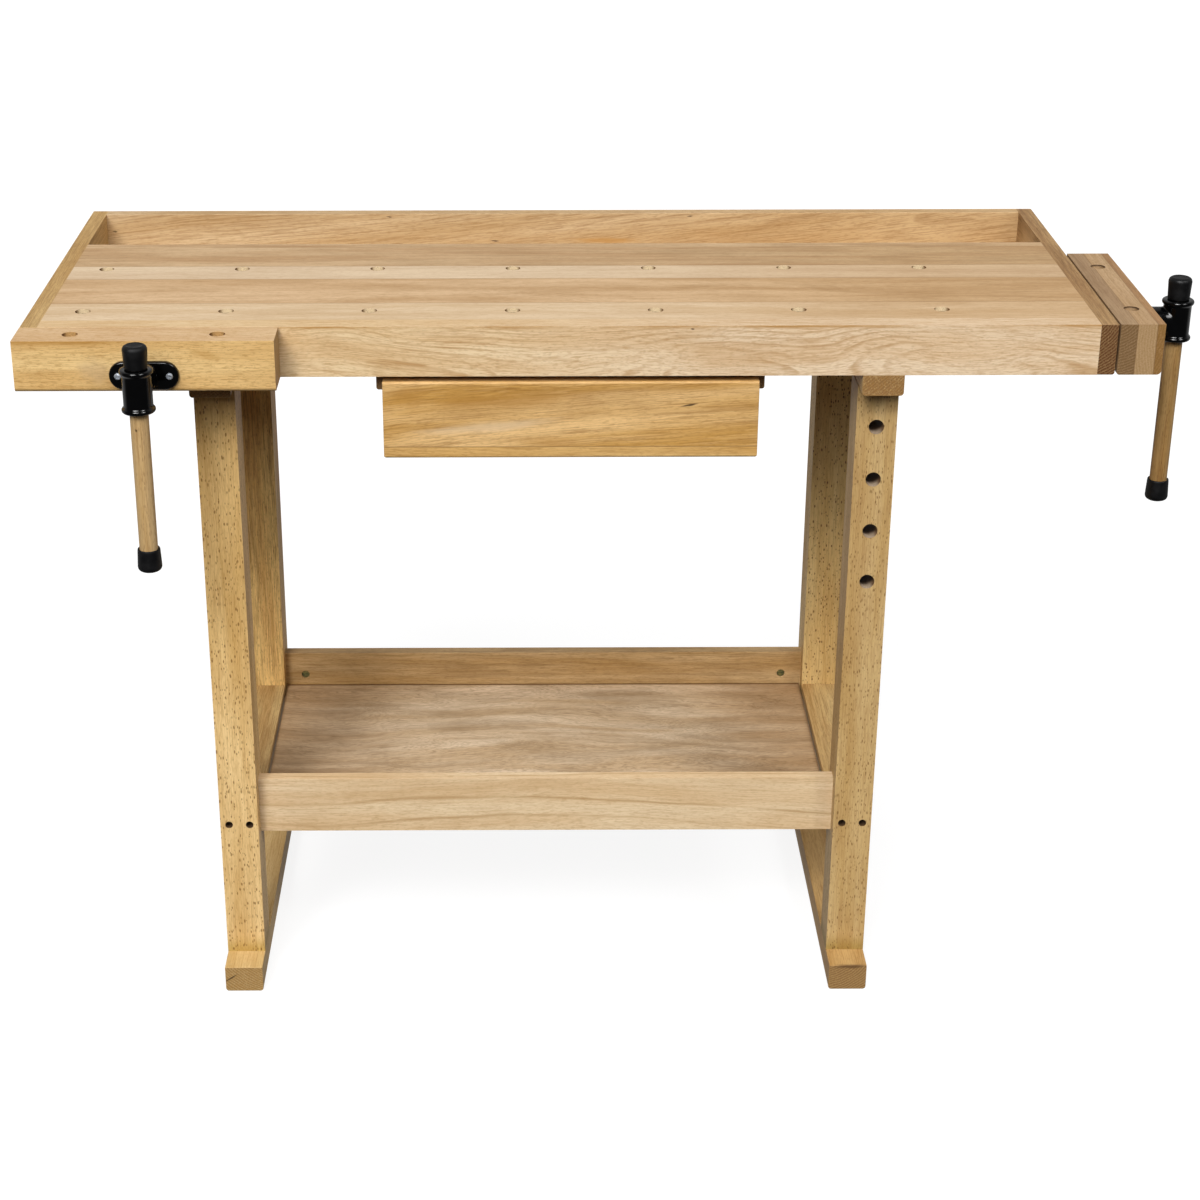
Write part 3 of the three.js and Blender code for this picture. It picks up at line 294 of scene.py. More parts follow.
# Noises of the grain: their sizes along and across it in millimetres, their detail, and the values
# between which they come to show. SWAY gives only the size across, and WAVE both sizes.
Figure = namedtuple("Figure", "along across detail start full")
PATCH = Figure(190, 34, 1.0, 0.36, 0.62)
DRIFT = Figure(330, 26, 2.0, 0.3, 0.7)
SMOKE = Figure(120, 38, 3.0, 0.42, 0.72)
FIBRE = Figure(70, 1.1, 1.0, 0.45, 0.7)
THREAD = Figure(44, 1.7, 2.0, 0.54, 0.66)
DASH = Figure(8, 1.5, 1.0, 0.5, 0.68)
SWAY = 120
WAVE = (42, 14)
PALE_THREAD = (0.46, 0.36)
# Shares of a face's direction along an axis, between which it comes to lie across the axis, and between
# which it stops being an eased edge
ACROSS = (0.6, 0.9)
EASED = (0.86, 0.97)
# A growth band darkens up to the first share of its spacing, and fades from the second
BAND = (0.87, 0.88)
FLECK_RADIUS = 0.14     # of a fleck's cell, and how much more the largest has
FLECK_SPREAD = 0.28
wood_count = 0


def mark_mask(shader, centre, half_sizes, tilt):
    """One mark, such as a knot, a streak or a stain, tilted about the Y axis."""
    inputs = {
        "Vector": shader.places["Object"],
        "Location": centre,
        "Rotation": (0, tilt, 0),
        "Scale": half_sizes,
    }
    local = shader.add("ShaderNodeMapping", inputs, vector_type="TEXTURE").outputs[0]
    wobble = shader.noise(local, scale=1.6)["Fac"]
    distance = shader.math("ADD", shader.vector("LENGTH", local), wobble)
    return shader.ramp(distance, 0.75, 1.5, 1.0, 0.0)


def wood(name, look, along, pith, marks=(), stains=(), fades=(), seams=()):
    """Beech whose growth rings lie round the pith, a line along the grain's axis, given by its two
    other coordinates. Faces across the grain show the rings as end grain. The details are:
    marks, each a centre, half sizes, tilt, colour and share;
    stains, each a height and a width, where an upright face is ochre;
    fades, each an axis, a start, an end and a colour that darkens the board more and more, on some
    boards a painted shade;
    seams, each an axis, a place, a width and a share of a dark joint, which on the shelf plate is painted
    contact shade."""
    global wood_count
    wood_count += 1
    shader = Shader(name)
    mix, ramp, times = shader.mix, shader.ramp, shader.times
    parts = LOOKS[look]
    light, line = parts["light"], parts["line"]
    axis = AXES.index(along)
    across = [i for i in range(3) if i != axis]
    place = shader.split(shader.places["Object"])
    length = shader.math("ADD", place[axis], wood_count * SEED_STEP)
    section = [shader.math("SUBTRACT", place[i], centre) for i, centre in zip(across, pith)]
    straight = shader.joined(length, *section)

    def scaled(vector, along_size, across_size):
        sizes = (along_size, across_size, across_size)
        return shader.vector("MULTIPLY", vector, tuple(1 / (size * MM) for size in sizes))

    def pattern(vector, figure):
        """A noise of the grain, and the mask of where it shows."""
        noise = shader.noise(scaled(vector, figure.along, figure.across), detail=figure.detail)["Fac"]
        return noise, ramp(noise, figure.start, figure.full)

    def swayed(vector, along_size, across_size, reach):
        """The vector moved across the grain by a soft noise."""
        noise = shader.noise(scaled(straight, along_size, across_size), detail=1.0)["Color"]
        offset = shader.vector("SUBTRACT", noise, (0.5, 0.5, 0.5))
        return shader.vector("MULTIPLY_ADD", offset, (0, reach * MM, reach * MM), vector)

    def laid(base, mask, feature, tint):
        """The base with a tint over it in the mask, as strongly as the look says."""
        return mix(times(mask, parts[feature]), base, tint)

    # The flow of the grain: it wanders along the board, waves, and slopes
    rise = shader.joined(0.0, 0.0, times(place[axis], parts["slope"]))
    flow = swayed(shader.vector("SUBTRACT", straight, rise), parts["sway"], SWAY, parts["wander"])
    flow = swayed(flow, *WAVE, parts["wave"])

    # Faces that lie across the grain, or face up, and edges between the board's main faces
    facing = shader.split(shader.places["Normal"])
    steep = [shader.math("ABSOLUTE", value) for value in facing]
    end = ramp(steep[axis], *ACROSS)
    side = shader.math("SUBTRACT", 1.0, end)
    largest = shader.math("MAXIMUM", shader.math("MAXIMUM", steep[0], steep[1]), steep[2])
    edge = ramp(largest, *EASED, 0.25, 0.0)

    # Growth bands that come and go on long faces, and rings on end grain
    distance = shader.vector("LENGTH", shader.vector("MULTIPLY", flow, (0, 1, 1)))
    spacing = shader.math("MULTIPLY_ADD", end, (END_RING - parts["spacing"]) * MM, parts["spacing"] * MM)
    turn = shader.math("FRACT", shader.math("DIVIDE", distance, spacing))
    late = times(ramp(turn, parts["onset"], BAND[0]), ramp(turn, BAND[1], 1.0, 1.0, 0.0))
    patch = pattern(straight, PATCH)[1]
    shade = mix(pattern(flow, DRIFT)[1], light, parts["dark"])
    # Painted sheen and shade: upward faces take the look's top colour, the same wood as it looks on top under the
    # lamps
    if "top" in parts:
        shade = mix(ramp(facing[2], *ACROSS, 0.0, 0.75), shade, parts["top"])
    shade = laid(shade, pattern(flow, SMOKE)[1], "smoke", line)
    shade = laid(shade, times(late, patch), "bands", line)
    shade = mix(end, shade, laid(parts["end"], late, "rings", light))

    # Fine wavy lines, fibres and dashes, and short dark flecks along the grain
    fibre, fibre_mask = pattern(flow, FIBRE)
    thread, thread_mask = pattern(flow, THREAD)
    dash = pattern(flow, DASH)[1]
    shade = laid(shade, fibre_mask, "fibre", line)
    shade = laid(shade, thread_mask, "threads", line)
    shade = laid(shade, ramp(thread, *PALE_THREAD), "threads", light)
    shade = laid(shade, dash, "dashes", line)
    inputs = {"Vector": scaled(flow, *parts["cell"]), "Scale": 1.0}
    cells = shader.add("ShaderNodeTexVoronoi", inputs).outputs
    chance = shader.split(cells["Color"])
    radius = shader.math("MULTIPLY_ADD", chance[0], FLECK_SPREAD, FLECK_RADIUS)
    spot = ramp(shader.math("DIVIDE", cells["Distance"], radius), 0.6, 1.2, 1.0, 0.0)
    spot = times(times(spot, ramp(chance[1], 0.05, 0.55)), side)
    shade = laid(shade, spot, "flecks", parts["fleck"])

    for height, width in stains:
        stain = times(ramp(shader.gap(place[2], height), 0.0, width, 0.8, 0.0), patch)
        stain = times(stain, shader.math("SUBTRACT", 1.0, steep[2]))
        shade = mix(stain, shade, EDGE_STAIN)
    for centre, half_sizes, tilt, tint, share in marks:
        mask = times(mark_mask(shader, centre, half_sizes, tilt), share)
        shade = mix(mask, shade, tint)
    # Fades darken the board along an axis: painted shade on the front legs, the shelf plate and the rear rail
    for fade_axis, start, stop, tint in fades:
        reached = ramp(place[AXES.index(fade_axis)], start, stop)
        shade = mix(reached, shade, tint, "MULTIPLY")
    # Dark glue lines, and on the shelf plate painted contact shade where it meets other pieces
    for seam_axis, seam_place, width, share in seams:
        away = shader.gap(place[AXES.index(seam_axis)], seam_place)
        shade = mix(ramp(away, width / 3, width, share, 0.0), shade, SEAM_AND_CONTACT_SHADE)

    # Painted highlight: the eased edges are lightened towards the light tone
    shade = mix(edge, shade, light)
    height = shader.math("MULTIPLY_ADD", dash, -0.5, fibre)
    height = shader.math("MULTIPLY_ADD", spot, -0.8, height)
    shader.bump(height, 0.2, 0.2 * MM)
    shader.set(Base_Color=shade, Roughness=shader.math("MULTIPLY_ADD", fibre, 0.25, 0.45))
    return shader.owner


def bored(name, along, axis, mouth, reach, tint, end_tint):
    """Wood inside a round hole along an axis: one tint where the grain runs along the wall and one where
    it meets it. It gets darker from the first depth of reach to the second, in millimetres from the
    hole's mouth. Where the second depth is the larger, this is painted shade deep in the hole; where it
    is the smaller, the wall darkens towards the mouth."""
    shader = Shader(name)
    facing = shader.split(shader.places["Normal"])
    end = shader.ramp(shader.math("ABSOLUTE", facing[AXES.index(along)]), 0.5, 0.95)
    shade = shader.mix(end, tint, end_tint)
    torn = shader.speckle(900.0)
    shade = shader.mix(shader.ramp(torn, 0.45, 0.75, 0.0, 0.35), shade, BORE_TEAR_AND_DEPTH_SHADE)
    # Painted shade: the wall darkens between the two depths of reach, in the brown of torn fibres
    depth = shader.gap(shader.split(shader.places["Object"])[AXES.index(axis)], mouth)
    shade = shader.mix(shader.ramp(depth, reach[0] * MM, reach[1] * MM), shade, BORE_TEAR_AND_DEPTH_SHADE)
    shader.bump(torn, 0.3, 0.2 * MM)
    shader.set(Base_Color=shade, Roughness=shader.ramp(torn, 0.3, 0.7, 0.6, 0.8))
    return shader.owner


# Metal, rubber and enamel


def enamel(name):
    """Thick gloss black enamel over a sand casting."""
    shader = Shader(name)
    cast = shader.speckle(90.0)
    peel = shader.speckle(420.0, detail=1.0)
    shader.bump(shader.math("MULTIPLY_ADD", cast, 1.4, peel), 0.12, 0.4 * MM)
    tint = shader.mix(cast, "010101", "040405")
    shader.set(Base_Color=tint, Roughness=shader.ramp(shader.speckle(60.0), 0.3, 0.7, 0.08, 0.15))
    return shader.owner


def rubber(name):
    """Moulded matte black rubber with faint dust in its surface."""
    shader = Shader(name)
    dust = shader.speckle(110.0, detail=4.0)
    shader.bump(shader.speckle(1400.0), 0.25, 0.15 * MM)
    tint = shader.mix(shader.ramp(dust, 0.45, 0.8), "050506", "0D0D0E")
    shader.set(Base_Color=tint, Roughness=shader.ramp(dust, 0.3, 0.7, 0.42, 0.6))
    shader.set(Specular_IOR_Level=0.35)
    return shader.owner


def plated(name, first, second, roughness, metallic=1.0):
    """Plated or plain steel whose colour drifts between two tones."""
    shader = Shader(name)
    drift = shader.speckle(260.0, detail=3.0)
    scratch = shader.speckle(1800.0)
    shader.bump(scratch, 0.1, 0.05 * MM)
    shader.set(
        Base_Color=shader.mix(shader.ramp(drift, 0.3, 0.7), first, second),
        Metallic=metallic,
        Roughness=shader.ramp(scratch, 0.2, 0.8, roughness - 0.08, roughness + 0.08),
    )
    return shader.owner


def casting(name):
    """Rough sand-cast iron under thin black paint."""
    shader = Shader(name)
    sand = shader.speckle(700.0, detail=3.0)
    uneven_tone = shader.speckle(60.0, detail=3.0)
    shader.bump(sand, 0.5, 0.4 * MM)
    tint = shader.mix(shader.ramp(uneven_tone, 0.55, 0.75), "1B1B1C", "38332F")
    shader.set(Base_Color=tint, Roughness=shader.ramp(sand, 0.3, 0.7, 0.5, 0.7))
    return shader.owner


FINISHES = {
    "black_enamel": enamel("black_enamel"),
    "black_rubber": rubber("black_rubber"),
    "zinc": plated("zinc", "D0D6DE", "B4BAC2", roughness=0.28, metallic=0.5),
    # Partly painted shade: the yellow zinc is darkened to stand in for the shadow gap round the barrel nuts
    "yellow_zinc": plated("yellow_zinc", "7E7A4C", "5C6144", roughness=0.32, metallic=0.6),
    "bright_steel": plated("bright_steel", "A9ABAD", "8D8F92", roughness=0.34),
    "cast_iron": casting("cast_iron"),
}


# Mesh helpers


def middle_of(node):
    low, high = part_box(node)
    return (low + high) / 2


def size_of(node):
    low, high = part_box(node)
    return high - low


def linked(name, data):
    """A new object in the scene."""
    thing = bpy.data.objects.new(name, data)
    bpy.context.scene.collection.objects.link(thing)
    return thing


def to_mesh(shape, name):
    mesh = bpy.data.meshes.new(name)
    shape.to_mesh(mesh)
    shape.free()
    return mesh


def closed(shape, name):
    """A mesh of closed solids, with their faces outwards."""
    bmesh.ops.recalc_face_normals(shape, faces=shape.faces)
    return to_mesh(shape, name)


def smooth(mesh, angle=35):
    """Smooth shading, apart from edges that turn by more than the angle."""
    mesh.shade_smooth()
    mesh.set_sharp_from_angle(angle=math.radians(angle))
    return mesh


def add_piece(name, mesh, body, slot, materials, replaced=()):
    """Puts a mesh on the bench as a piece that rides on a body and stands for CAD nodes."""
    piece = linked(name, mesh)
    mesh.materials.clear()
    for material in materials:
        mesh.materials.append(material)
    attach(piece, body)
    if replaced:
        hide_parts(*replaced)
    return piece


def add_finished(node, ending, mesh, angle=35):
    """A piece that stands for one CAD node, in the finish of the node's slot."""
    slot = SLOTS[node]
    add_piece(f"{node}_{ending}", smooth(mesh, angle), BODIES[node], slot, [FINISHES[slot]], [node])


def flattened(mesh):
    """The shape of a mesh with its corners joined and its flat faces whole."""
    shape = bmesh.new()
    shape.from_mesh(mesh)
    bmesh.ops.remove_doubles(shape, verts=shape.verts, dist=WELD)
    bmesh.ops.dissolve_limit(shape, angle_limit=FLAT, verts=shape.verts, edges=shape.edges)
    return shape


def modified(mesh, *settings):
    """The mesh after a list of modifiers, each given as its kind and its settings."""
    carrier = linked("carrier", mesh)
    for kind, values in settings:
        modifier = carrier.modifiers.new(kind, kind)
        for name, value in values.items():
            setattr(modifier, name, value)
    graph = bpy.context.evaluated_depsgraph_get()
    result = bpy.data.meshes.new_from_object(carrier.evaluated_get(graph))
    bpy.data.objects.remove(carrier)
    return result


def carved(mesh, tool_mesh, operation="DIFFERENCE"):
    """The mesh with another cut from it, or joined to it."""
    tool = linked("tool", tool_mesh)
    values = {"object": tool, "operation": operation, "solver": "EXACT"}
    result = modified(mesh, ("BOOLEAN", values))
    bpy.data.objects.remove(tool)
    return result


def axis_matrix(axis, centre=(0, 0, 0)):
    """Turns the Z axis to the named axis and moves the origin to the centre."""
    turns = {
        "x": Matrix.Rotation(math.pi / 2, 4, "Y"),
        "y": Matrix.Rotation(-math.pi / 2, 4, "X"),
        "z": Matrix.Identity(4),
    }
    return Matrix.Translation(centre) @ turns[axis]


def softened(points, radius, steps=4):
    """A line of [radius, along] points with its inner corners rounded."""
    line = [Vector(point) for point in points]
    result = [line[0]]
    for before, corner, after in zip(line, line[1:], line[2:]):
        back = before - corner
        ahead = after - corner
        reach = min(radius, back.length * 0.48, ahead.length * 0.48)
        start = corner + back.normalized() * reach
        end = corner + ahead.normalized() * reach
        for i in range(steps + 1):
            share = i / steps
            result.append(start.lerp(corner, share).lerp(corner.lerp(end, share), share))
    result.append(line[-1])
    return result


def circle(radius, sides):
    """The corners of a round outline in X and Y, or its middle where it has no width."""
    if radius < WELD:
        return [(0, 0)]
    angles = [2 * math.pi * i / sides for i in range(sides)]
    return [(radius * math.cos(angle), radius * math.sin(angle)) for angle in angles]


def bridge(shape, rings, matrix):
    """Adds to a shape the walls between outlines at heights along the Z axis of a matrix. All outlines
    have the same number of corners, or just one."""
    loops = [
        [shape.verts.new(matrix @ Vector((x, y, height))) for x, y in outline]
        for outline, height in rings
    ]
    sides = max(len(loop) for loop in loops)
    for lower, upper in zip(loops, loops[1:]):
        for i in range(sides):
            j = (i + 1) % sides
            pairs = ((lower, i), (lower, j), (upper, j), (upper, i))
            corners = list(dict.fromkeys(loop[k % len(loop)] for loop, k in pairs))
            if len(corners) > 2:
                shape.faces.new(corners)
    return loops


def revolve(shape, points, matrix, sides=LATHE_SIDES):
    """Adds to a shape the solid that [radius, along] points sweep about the Z axis of a matrix."""
    bridge(shape, [(circle(radius, sides), along) for radius, along in points], matrix)
    return shape


def turned(points, matrix, sides=LATHE_SIDES):
    """A closed turned solid as a mesh of its own."""
    return closed(revolve(bmesh.new(), points, matrix, sides), "turned")


def rod(radius, low, high):
    """The points of a plain round bar between two places along it."""
    return [(0, low), (radius, low), (radius, high), (0, high)]


def rods(places, radius, low, high, sides=HOLE_SIDES):
    """Plain round tools along the Z axis of each matrix in places."""
    shape = bmesh.new()
    for matrix in places:
        revolve(shape, rod(radius, low, high), matrix, sides)
    return closed(shape, "rods")


def blocks(boxes, matrix):
    """Plain box tools between pairs of corners in the frame of a matrix."""
    shape = bmesh.new()
    for low, high in boxes:
        low, high = Vector(low), Vector(high)
        place = matrix @ Matrix.Translation((low + high) / 2) @ Matrix.Diagonal((*(high - low), 1))
        bmesh.ops.create_cube(shape, size=1, matrix=place)
    return to_mesh(shape, "blocks")


def eased(mesh, node, width, glued):
    """Eases the outward edges of a wooden piece. Sides named in glued, such as x0 for the low X side,
    meet another piece flush, and keep their edges sharp."""
    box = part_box(node)
    sides = [(AXES.index(side[0]), box[int(side[1])]) for side in glued]

    def is_glued(edge):
        return any(
            all(abs(vert.co[axis] - corner[axis]) < 0.05 * MM for vert in edge.verts)
            for axis, corner in sides
        )

    shape = flattened(mesh)
    chosen = [
        edge
        for edge in shape.edges
        if edge.is_manifold and edge.calc_face_angle_signed(0) > SHARP and not is_glued(edge)
    ]
    bmesh.ops.bevel(
        shape, geom=chosen, offset=width, offset_type="OFFSET", segments=2, profile=0.5, affect="EDGES",
        clamp_overlap=True,
    )
    return to_mesh(shape, node)


# Wooden pieces

DOG_RADIUS = 9.02 * MM
HOLE_REACH = 60 * MM
TOP_STAVES = (91, 191, 246)       # glue lines of the slab, in millimetres from the front of the apron
TAIL_LAMINATIONS = (19.5, 42)     # glue lines of the tail jaw, in millimetres from its clamping face
DRAWER_STRIP = 14 * MM            # the strip glued under the drawer's front
GLUE_LINE = 0.9 * MM
# Widths of the painted contact shade on the shelf plate: at its ends, and where it meets the back board
PLATE_END_CONTACT_SHADE_WIDTH = 3 * MM
BACK_BOARD_CONTACT_SHADE_WIDTH = 4.8 * MM
FAINT = 0.5
STRONG = 0.95
MARK_DEPTH = 6                    # half a mark's depth into the wood, in millimetres
# Tints that darken the worktop's staves towards the bench's right end
STAVE_RIGHT_DARKENING = "F0E6D8"
STAVE_RIGHT_SLIGHT_DARKENING = "F2EDE2"
# Painted shade on the shelf plate's ends, near the legs
PLATE_END_PAINTED_SHADE = "DCCFBE"
# Painted shade on the upper part of the left front leg, under the front jaw and the worktop
LEG_UPPER_PAINTED_SHADE = "F3EDDD"
# Painted shade near the feet on the front legs
LEG_FOOT_PAINTED_SHADE = "D2D0AC"
YELLOWED = "FEFAEA"
# Painted shade on the rear rail's inner face towards its right end, by the right end cap
RAIL_RIGHT_PAINTED_SHADE = "F8F0E2"
LEG_FOOT_PAINTED_SHADE_HEIGHTS = (62 * MM, 36 * MM)
LEG_UPPER_PAINTED_SHADE_HEIGHTS = (220 * MM, 560 * MM)
STRETCHER_SCREW_SPACING = 26 * MM
STRETCHER_BORE_RADIUS = 4.8 * MM
STRETCHER_BORE_DEPTH = 24 * MM
STRETCHER_HEAD_RADIUS = 4.5 * MM
STRETCHER_HEAD_DEPTH = 15 * MM
STRETCHER_HEAD_HEIGHT = 6 * MM
NUT_BORE_RADIUS = 3.35 * MM
NUT_SLOT_DEPTH = 1.5 * MM
NUT_SLOT_HALF = 0.8 * MM
BOLT_SHANK_RADIUS = 3 * MM
BOLT_HEAD_HEIGHT = 4.7 * MM
BOLT_SOCKET = 3 * MM              # radius and depth


def pith_of(node, along, offset):
    """The line that a board's rings lie round, by its offset in millimetres from the board's middle."""
    middle = middle_of(node)
    across = [i for i in range(3) if AXES[i] != along]
    return [middle[i] + shift * MM for i, shift in zip(across, offset)]


def opening_places(axis, prefix):
    """Where the round holes of the openings with a name's start lie."""
    boxes = [box for name, box in OPENINGS.items() if name.startswith(prefix)]
    return [axis_matrix(axis, (Vector(low) + Vector(high)) / 2) for low, high in boxes]


def wooden(node, look, along, pith=(25, -90), ease=0.6, glued=(), holes=None, **details):
    """A CAD board with round holes, eased edges and its own wood, with the details of wood()."""
    mesh = to_mesh(flattened(NODES[node].data), node)
    if holes:
        mesh = carved(mesh, holes)
    mesh = eased(mesh, node, ease * MM, glued)
    material = wood(f"{node}_wood", look, along, pith_of(node, along, pith), **details)
    return add_piece(f"{node}_wooden", mesh, BODIES[node], SLOTS[node], [material], [node])


def dog_holes(places):
    return rods(places, DOG_RADIUS, -HOLE_REACH, HOLE_REACH)


def line_bores(piece, places, name, along, axis, **wall):
    """Gives the walls of a piece's round holes along an axis a wood of their own, as bored() takes it."""
    slot = len(piece.data.materials)
    piece.data.materials.append(bored(name, along, axis, **wall))
    number = AXES.index(axis)
    for face in piece.data.polygons:
        if abs(face.normal[number]) > 0.2:
            continue
        for matrix in places:
            offset = face.center - matrix.translation
            offset[number] = 0
            if offset.length < DOG_RADIUS + 0.05 * MM:
                face.material_index = slot


def split_boards(piece, axis, cuts, looks, along, piths, details):
    """Divides a piece into glued boards at places along an axis, each with its own wood and details."""
    node = piece.name.removesuffix("_wooden")
    shape = bmesh.new()
    shape.from_mesh(piece.data)
    index = AXES.index(axis)
    side = Vector([float(i == index) for i in range(3)])
    for cut in cuts:
        everything = shape.verts[:] + shape.edges[:] + shape.faces[:]
        bmesh.ops.bisect_plane(shape, geom=everything, plane_co=side * cut, plane_no=side)
    for face in shape.faces:
        face.material_index = sum(face.calc_center_median()[index] > cut for cut in cuts)
    piece.data.materials.clear()
    seams = [(axis, cut, GLUE_LINE, FAINT) for cut in cuts]
    for number, (look, pith, own) in enumerate(zip(looks, piths, details), 1):
        name = f"{node}_board_{number}_wood"
        material = wood(name, look, along, pith_of(node, along, pith), seams=seams, **own)
        piece.data.materials.append(material)
    shape.to_mesh(piece.data)
    shape.free()


def face_mark(node, x, z, half_x, half_z, tilt=0.0, tint=DARK_MARK, share=0.85):
    """A mark on a board's front face, in millimetres from the left end and the floor of the bench."""
    corner = Vector((LEFT_END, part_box(node)[0].y, 0))
    half_sizes = Vector((half_x, MARK_DEPTH, half_z)) * MM
    return (corner + Vector((x, 0, z)) * MM, half_sizes, tilt, tint, share)


def face_marks(node, *rows):
    return [face_mark(node, *row) for row in rows]


def along_top(from_left, from_right, tint):
    """The fade of a long board between places in millimetres from the bench's ends."""
    return [("x", LEFT_END + from_left * MM, RIGHT_END - from_right * MM, tint)]


def make_worktop():
    dogs = opening_places("z", "front_dog") + opening_places("z", "rear_dog")
    slab = wooden("worktop_slab", "top_tan", "x", ease=0.35, glued=("x0", "x1", "y0", "y1"),
                  holes=dog_holes(dogs))
    cuts = [FRONT + cut * MM for cut in TOP_STAVES]
    looks = ("top_light", "top_tan", "top_pink", "top_brown")
    piths = ((-110, -60), (-20, -42), (-60, 80), (60, -50))
    # The staves darken towards the bench's right end, the first and third more than the others
    uneven_tone = dict(fades=along_top(560, 160, STAVE_RIGHT_DARKENING))
    milder_uneven_tone = dict(fades=along_top(560, 160, STAVE_RIGHT_SLIGHT_DARKENING))
    split_boards(slab, "y", cuts, looks, "x", piths, [uneven_tone, milder_uneven_tone, uneven_tone, milder_uneven_tone])
    # Painted shade: the dog holes' walls darken from 4.2 mm to 6.6 mm below the top
    line_bores(slab, dogs, "dog_hole_wood", "x", "z", mouth=TOP, reach=(4.2, 6.6), tint="E2C9A0",
               end_tint="86623C")
    yellow = ("x", LEFT_END + 900 * MM, LEFT_END + 350 * MM, YELLOWED)
    wooden("front_apron", "apron", "x", (60, -30), glued=("x0", "x1", "y1"), stains=[(TOP, 5 * MM)],
           marks=face_marks("front_apron", (765, 884, 3.0, 1.4)), fades=[yellow])
    wooden("tray_front_rail", "top_brown", "x", (-60, 50), 0.5, ("x0", "x1", "y0"))
    knots = face_marks(
        "rear_rail",
        (30, 865, 4.0, 1.8, 0.1),
        (535, 851, 7.0, 1.6, 0.05),
        (684, 851, 55.0, 6.0, 0.0, EDGE_STAIN, 0.6),
        (395, 884, 5.0, 1.2, 0.1),
        (794, 884, 5.0, 1.2, -0.1),
    )
    # Painted shade: the rear rail's inner face darkens towards its right end, near the corner with the right end
    # cap
    wooden("rear_rail", "rail", "x", (-80, -20), glued=("x0", "x1"), marks=knots,
           fades=along_top(550, 250, RAIL_RIGHT_PAINTED_SHADE))
    wooden("left_end_cap", "left_cap", "y", (30, 46), glued=("x1",))
    # Painted light: a paler tan patch on the right end cap's inner face in the tray, which the lamps reach only at
    # a grazing angle
    inner_face = Vector((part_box("right_end_cap")[0].x, middle_of("tray_floor").y, TOP - 32 * MM))
    inside = (inner_face, Vector((8, 82, 38)) * MM, 0, "C9A474", 0.7)
    wooden("right_end_cap", "right_cap", "y", (-60, 72), glued=("x0",), marks=[inside])
    wooden("tray_floor", "plate", "x", (90, -160), 0.3)


def stretcher_places(side, end):
    """Where a stretcher's screws enter a leg's face: matrices whose Z axis points into the wood."""
    low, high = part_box(f"{side}_{end}_leg")
    height = middle_of(f"{side}_stretcher").z
    middle = (low.x + high.x) / 2
    face, turn = (low.y, -math.pi / 2) if end == "front" else (high.y, math.pi / 2)
    return [
        Matrix.Translation((middle + way * STRETCHER_SCREW_SPACING / 2, face, height))
        @ Matrix.Rotation(turn, 4, "X")
        for way in (-1, 1)
    ]


def socket_screw(matrix, radius, height, top):
    """A cylinder head with a hexagon socket and the start of its shank, its top at a depth along the
    matrix's Z axis."""
    seat = top + height
    tip = seat + height
    outline = [(0, top), (radius, top), (radius, seat), (radius / 2, seat), (radius / 2, tip), (0, tip)]
    head = turned(softened(outline, 0.6 * MM), matrix, SMALL_LATHE_SIDES)
    return carved(head, rods([matrix], radius * 0.52, top - height, top + height * 0.6, sides=6))


def make_leg(side, end, pith):
    """A leg with its counterbores and their screws, and on the right front leg the peg holes."""
    node = f"{side}_{end}_leg"
    places = stretcher_places(side, end)
    holes = rods(places, STRETCHER_BORE_RADIUS, -MM, STRETCHER_BORE_DEPTH, SMALL_LATHE_SIDES)
    pegs = opening_places("y", "leg_peg") if node == "right_front_leg" else []
    if pegs:
        shape = bmesh.new()
        shape.from_mesh(holes)
        shape.from_mesh(dog_holes(pegs))
        holes = to_mesh(shape, "holes")
    # Painted shade: the front legs darken towards the bottom, below 62 mm, fully below 36 mm, where they meet the
    # feet
    fades = [("z", *LEG_FOOT_PAINTED_SHADE_HEIGHTS, LEG_FOOT_PAINTED_SHADE)] if end == "front" else []
    # Painted shade: the left front leg darkens upwards from 220 mm, fully above 560 mm, under the jaw and the
    # worktop
    if node == "left_front_leg":
        fades.append(("z", *LEG_UPPER_PAINTED_SHADE_HEIGHTS, LEG_UPPER_PAINTED_SHADE))
    leg = wooden(node, node, "z", pith, holes=holes, fades=fades)
    mouth = places[0].translation.y
    # Painted shade: the counterbores' walls are dark brown, darker still from 1 mm to 5 mm deep
    line_bores(leg, places, f"{node}_screw_hole_wood", "x", "y", mouth=mouth, reach=(1, 5), tint="5E4526",
               end_tint="4E3820")
    if pegs:
        # Painted shade: the peg holes' walls darken from 7 mm to 20 mm deep
        line_bores(leg, pegs, "peg_hole_wood", "x", "y", mouth=mouth, reach=(7, 20), tint="A8937C",
                   end_tint="7A5C3E")
    for number, matrix in enumerate(places, 1):
        screw = socket_screw(matrix, STRETCHER_HEAD_RADIUS, STRETCHER_HEAD_HEIGHT, STRETCHER_HEAD_DEPTH)
        add_piece(f"{side}_{end}_stretcher_screw_{number}", smooth(screw), "bench", "zinc",
                  [FINISHES["zinc"]])


def make_trestles():
    for side, front_pith, rear_pith, foot_pith in (
        ("left", (-70, 40), (60, 75), (46, 62)),
        ("right", (75, 55), (-50, -80), (-40, 66)),
    ):
        make_leg(side, "front", front_pith)
        make_leg(side, "rear", rear_pith)
        foot = f"{side}_foot"
        start = (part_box(foot)[0].x - LEFT_END) / MM
        crack = face_mark(foot, start + 7, 19, 14.0, 1.4, -0.61, share=STRONG)
        chip = face_mark(foot, start + 28, 34, 28.0, 4.0, -0.05, "5A3C1C")
        wooden(foot, foot, "y", foot_pith, marks=[crack if side == "left" else chip])
        wooden(f"{side}_bearer", "bearer", "y", (-60, 78))
        wooden(f"{side}_stretcher", "stretcher", "y", (30, -80))


